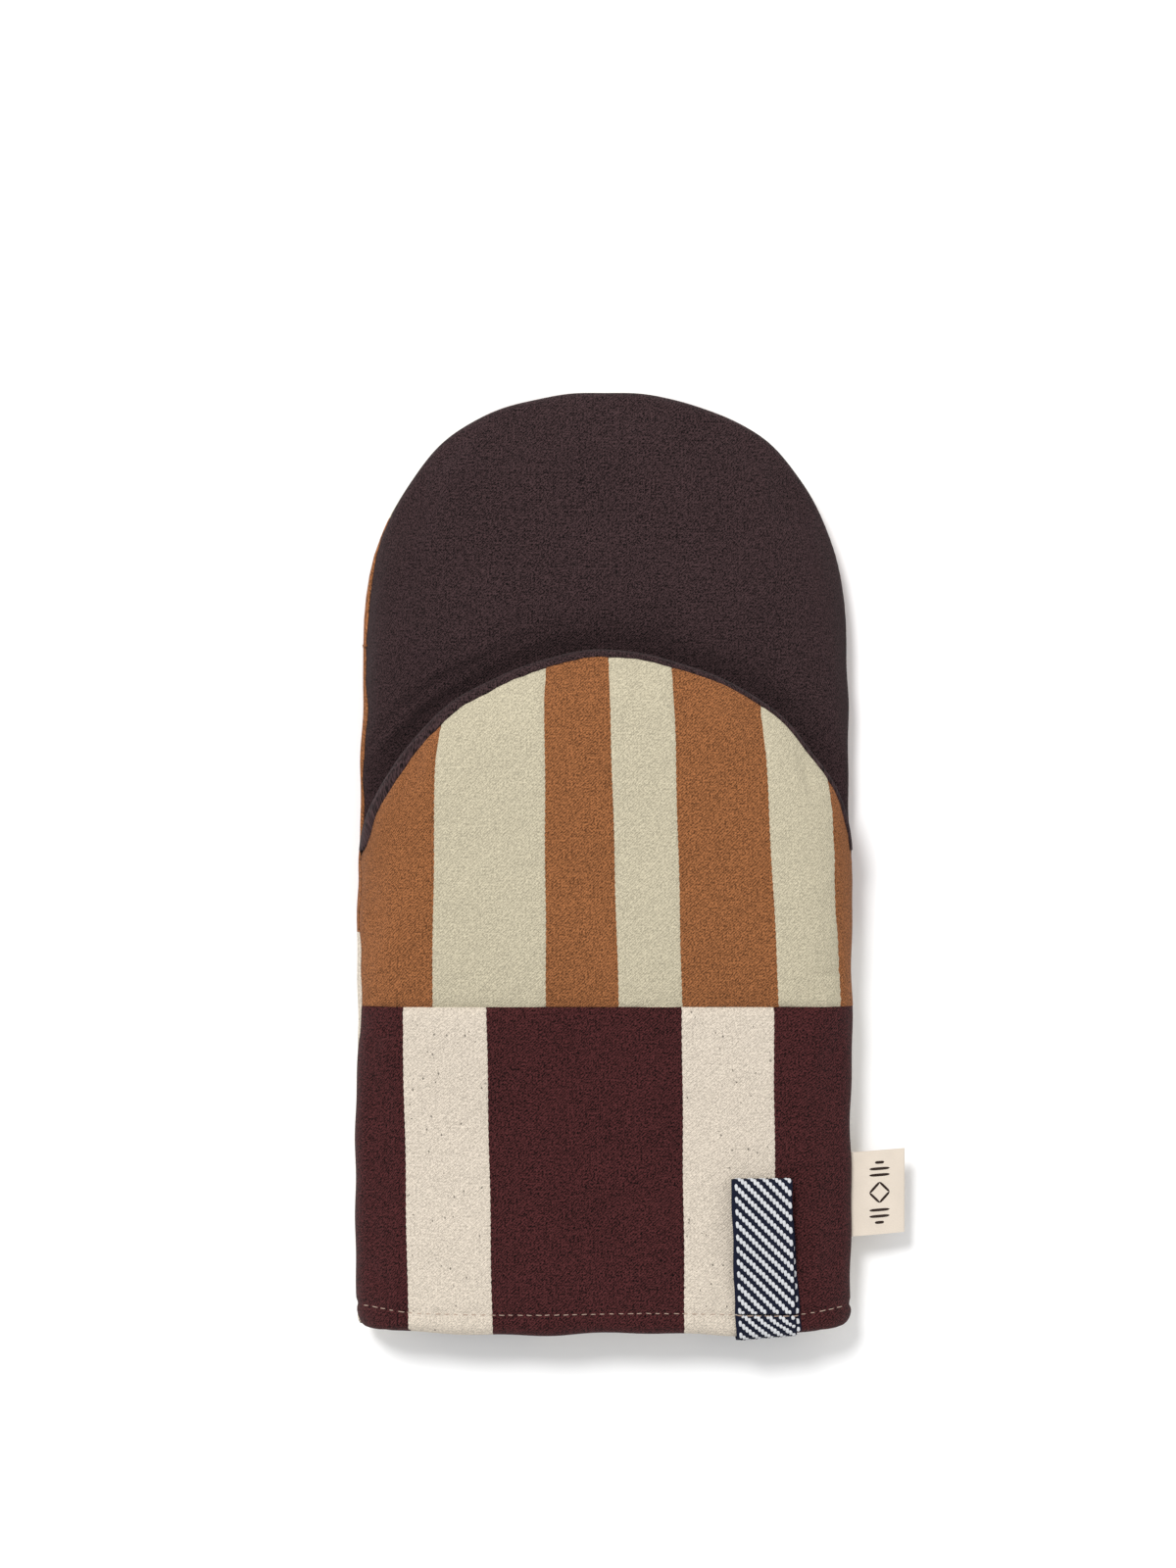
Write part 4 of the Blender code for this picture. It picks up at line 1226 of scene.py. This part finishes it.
# ---- side label ----
def label_cloth():
    """Fine cotton ribbon with a diagonal rib."""
    n = Nodes("label_cotton")
    place = n.cloth_place()
    split = n.add("ShaderNodeSeparateXYZ", {"Vector": place})
    slant = n.math("ADD", split.outputs["X"], n.times(split.outputs["Y"], 0.5))
    rib = n.wave(slant, 2 * math.pi / 0.42)
    grain = n.noise(place, 2.8, 3.0, 0.7)
    tone = n.vary(grain, n.noise(place, 0.12, 2.0), 0.5)
    shown = n.tones(n.math("MULTIPLY_ADD", rib, 0.12, tone), (0.700, 0.615, 0.520), 0.86, 1.07, 0.1)
    return n.finish(shown, 0.85, n.bump(n.math("ADD", rib, grain), 0.4, 0.08 * MM), 0.1)


LABEL = label_cloth()
INK = plain_cloth("label_yarn", (0.030, 0.018, 0.014), 5000)
LABEL_LEAN = 0.07
LABEL_ROOT = 2.9 * MM                # how far the ribbon goes into the seam
LABEL_REACH = LABEL_BOX[1].x - LABEL_BOX[0].x
LABEL_MIDDLE_Y = (LABEL_BOX[0].y + LABEL_BOX[1].y) / 2


def fix_facing(obj):
    """Turns a closed mesh the right way out."""
    mesh = bmesh.new()
    mesh.from_mesh(obj.data)
    bmesh.ops.recalc_face_normals(mesh, faces=mesh.faces)
    mesh.to_mesh(obj.data)
    mesh.free()


def label_point(out, up, off):
    """A point on the label: out from the seam, up along it, off its middle plane."""
    share = np.clip(out / LABEL_REACH, 0, None)
    droop = (-2.0 * share ** 1.7 + 0.35 * np.sin(up / (9 * MM)) * share) * MM
    y = LABEL_MIDDLE_Y + up + LABEL_LEAN * (out - LABEL_REACH / 2)
    return together(LABEL_BOX[0].x + out, y, LABEL_HINGE.z + droop + off)


def build_label():
    """A ribbon folded over at its outer edge, with its ends in the side seam."""
    tall = LABEL_BOX[1].y - LABEL_BOX[0].y - LABEL_LEAN * LABEL_REACH
    half = 0.38 * MM
    thick = 0.34 * MM
    low = together(np.linspace(-LABEL_ROOT, LABEL_REACH - half, 26), -half)
    bend = arc_points((LABEL_REACH - half, 0.0), half, -90, 90, 9)
    path = np.concatenate([low, bend[1:-1], low[::-1] * np.array([1, -1])])
    step = unit(np.gradient(path, axis=0))
    outer = together(step[:, 1], -step[:, 0])
    up = np.linspace(-0.5, 0.5, 40) * tall
    skins = []
    for side in (0.5, -0.5):
        out = path[:, 0] + outer[:, 0] * thick * side
        off = path[:, 1] + outer[:, 1] * thick * side
        skins.append(label_point(out[:, None], up[None, :], off[:, None]))
    cloth_xy = together(run_length(path)[:, None], up[None, :])
    ribbon = slab("side_label_ribbon", skins[0], skins[1], 1, LABEL, cloth_xy)
    fix_facing(ribbon)
    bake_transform(ribbon)
    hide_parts("side_label")
    build_label_mark(half + thick / 2)


def build_label_mark(surface_off):
    """A plain woven mark in place of lettering: a column of bars with a lozenge."""
    parts = []
    middle = 7.0 * MM
    for up, width in ((-9.6, 3.0), (-7.6, 6.6), (-5.6, 6.6), (5.6, 6.6), (7.6, 6.6), (9.6, 3.0)):
        out = middle + np.linspace(-0.5, 0.5, 14) * width * MM
        parts.append(tube(label_point(out, np.full(14, up * MM), surface_off), 0.46 * MM, 8, 0.30))
    corners = ((0, 3.3), (3.2, 0), (0, -3.3), (-3.2, 0), (0, 3.3))
    for (o1, u1), (o2, u2) in zip(corners[:-1], corners[1:]):
        out = middle + np.linspace(o1, o2, 12) * MM
        up = np.linspace(u1, u2, 12) * MM
        parts.append(tube(label_point(out, up, surface_off), 0.42 * MM, 8, 0.30))
    build_joined("side_label_mark", parts, INK, "label", [])


# ---- stage ----
def build_stage():
    """A large sheet of white paper just under the mitt."""
    n = Nodes("floor_paper")
    place = n.object_place()
    tone = n.tones(n.noise(place, 8.0), (0.950, 0.950, 0.950), 0.945 / 0.950, 0.955 / 0.950)
    paper = n.finish(tone, 0.9, n.bump(n.noise(place, 300.0), 0.02, 0.1 * MM), 0.0)
    size = 6.0
    corners = [(-size, -size, 0), (size, -size, 0), (size, size, 0), (-size, size, 0)]
    floor = add_mesh("floor", corners, [(0, 1, 2, 3)], paper)
    floor.location.z = -0.05 * MM


def build_lights():
    """A soft key from the upper left in an even white room."""
    world = bpy.data.worlds.new("studio")
    world.use_nodes = True
    background = world.node_tree.nodes["Background"]
    background.inputs["Color"].default_value = (1.0, 1.0, 1.0, 1.0)
    background.inputs["Strength"].default_value = 0.80
    bpy.context.scene.world = world
    lamp = bpy.data.lights.new("key", "AREA")
    lamp.shape = "DISK"
    lamp.size = 1.0
    lamp.energy = 88.0
    key = placed("key", lamp)
    key.location = (-1.05, 1.75, 3.1)
    key.rotation_euler = (-key.location).to_track_quat("-Z", "Y").to_euler()


def build_camera():
    """Straight down, with the mitt a little right of the middle and low in the frame."""
    camera = bpy.data.cameras.new("camera")
    camera.lens = 85
    camera.sensor_width = 36
    view_height = 0.5012
    distance = camera.lens / camera.sensor_width * view_height
    obj = placed("camera", camera)
    obj.location = (-5.6 * MM, 25.0 * MM, 0.5 * CUFF_TOP_Z + distance)
    scene = bpy.context.scene
    scene.camera = obj
    scene.view_settings.view_transform = "Standard"
    scene.view_settings.look = "None"


build_panel(Panel("front_dome", DOME_CLOTHS, FRONT, FRONT_SEAM_Y, None), bends=True)
build_panel(Panel("front_cuff", CUFF_CLOTHS, FRONT, HEM_Y, FRONT_SEAM_Y))
build_panel(Panel("back_dome", DOME_CLOTHS, BACK, BACK_SEAM_Y, None))
build_panel(Panel("back_cuff", BACK_CUFF_CLOTHS, BACK, HEM_Y, BACK_SEAM_Y))
build_palm_fingers()
build_palm_thumb()
build_layers()
build_stitches()
build_tacks()
build_loop()
build_tails()
build_label()
build_stage()
build_lights()
build_camera()
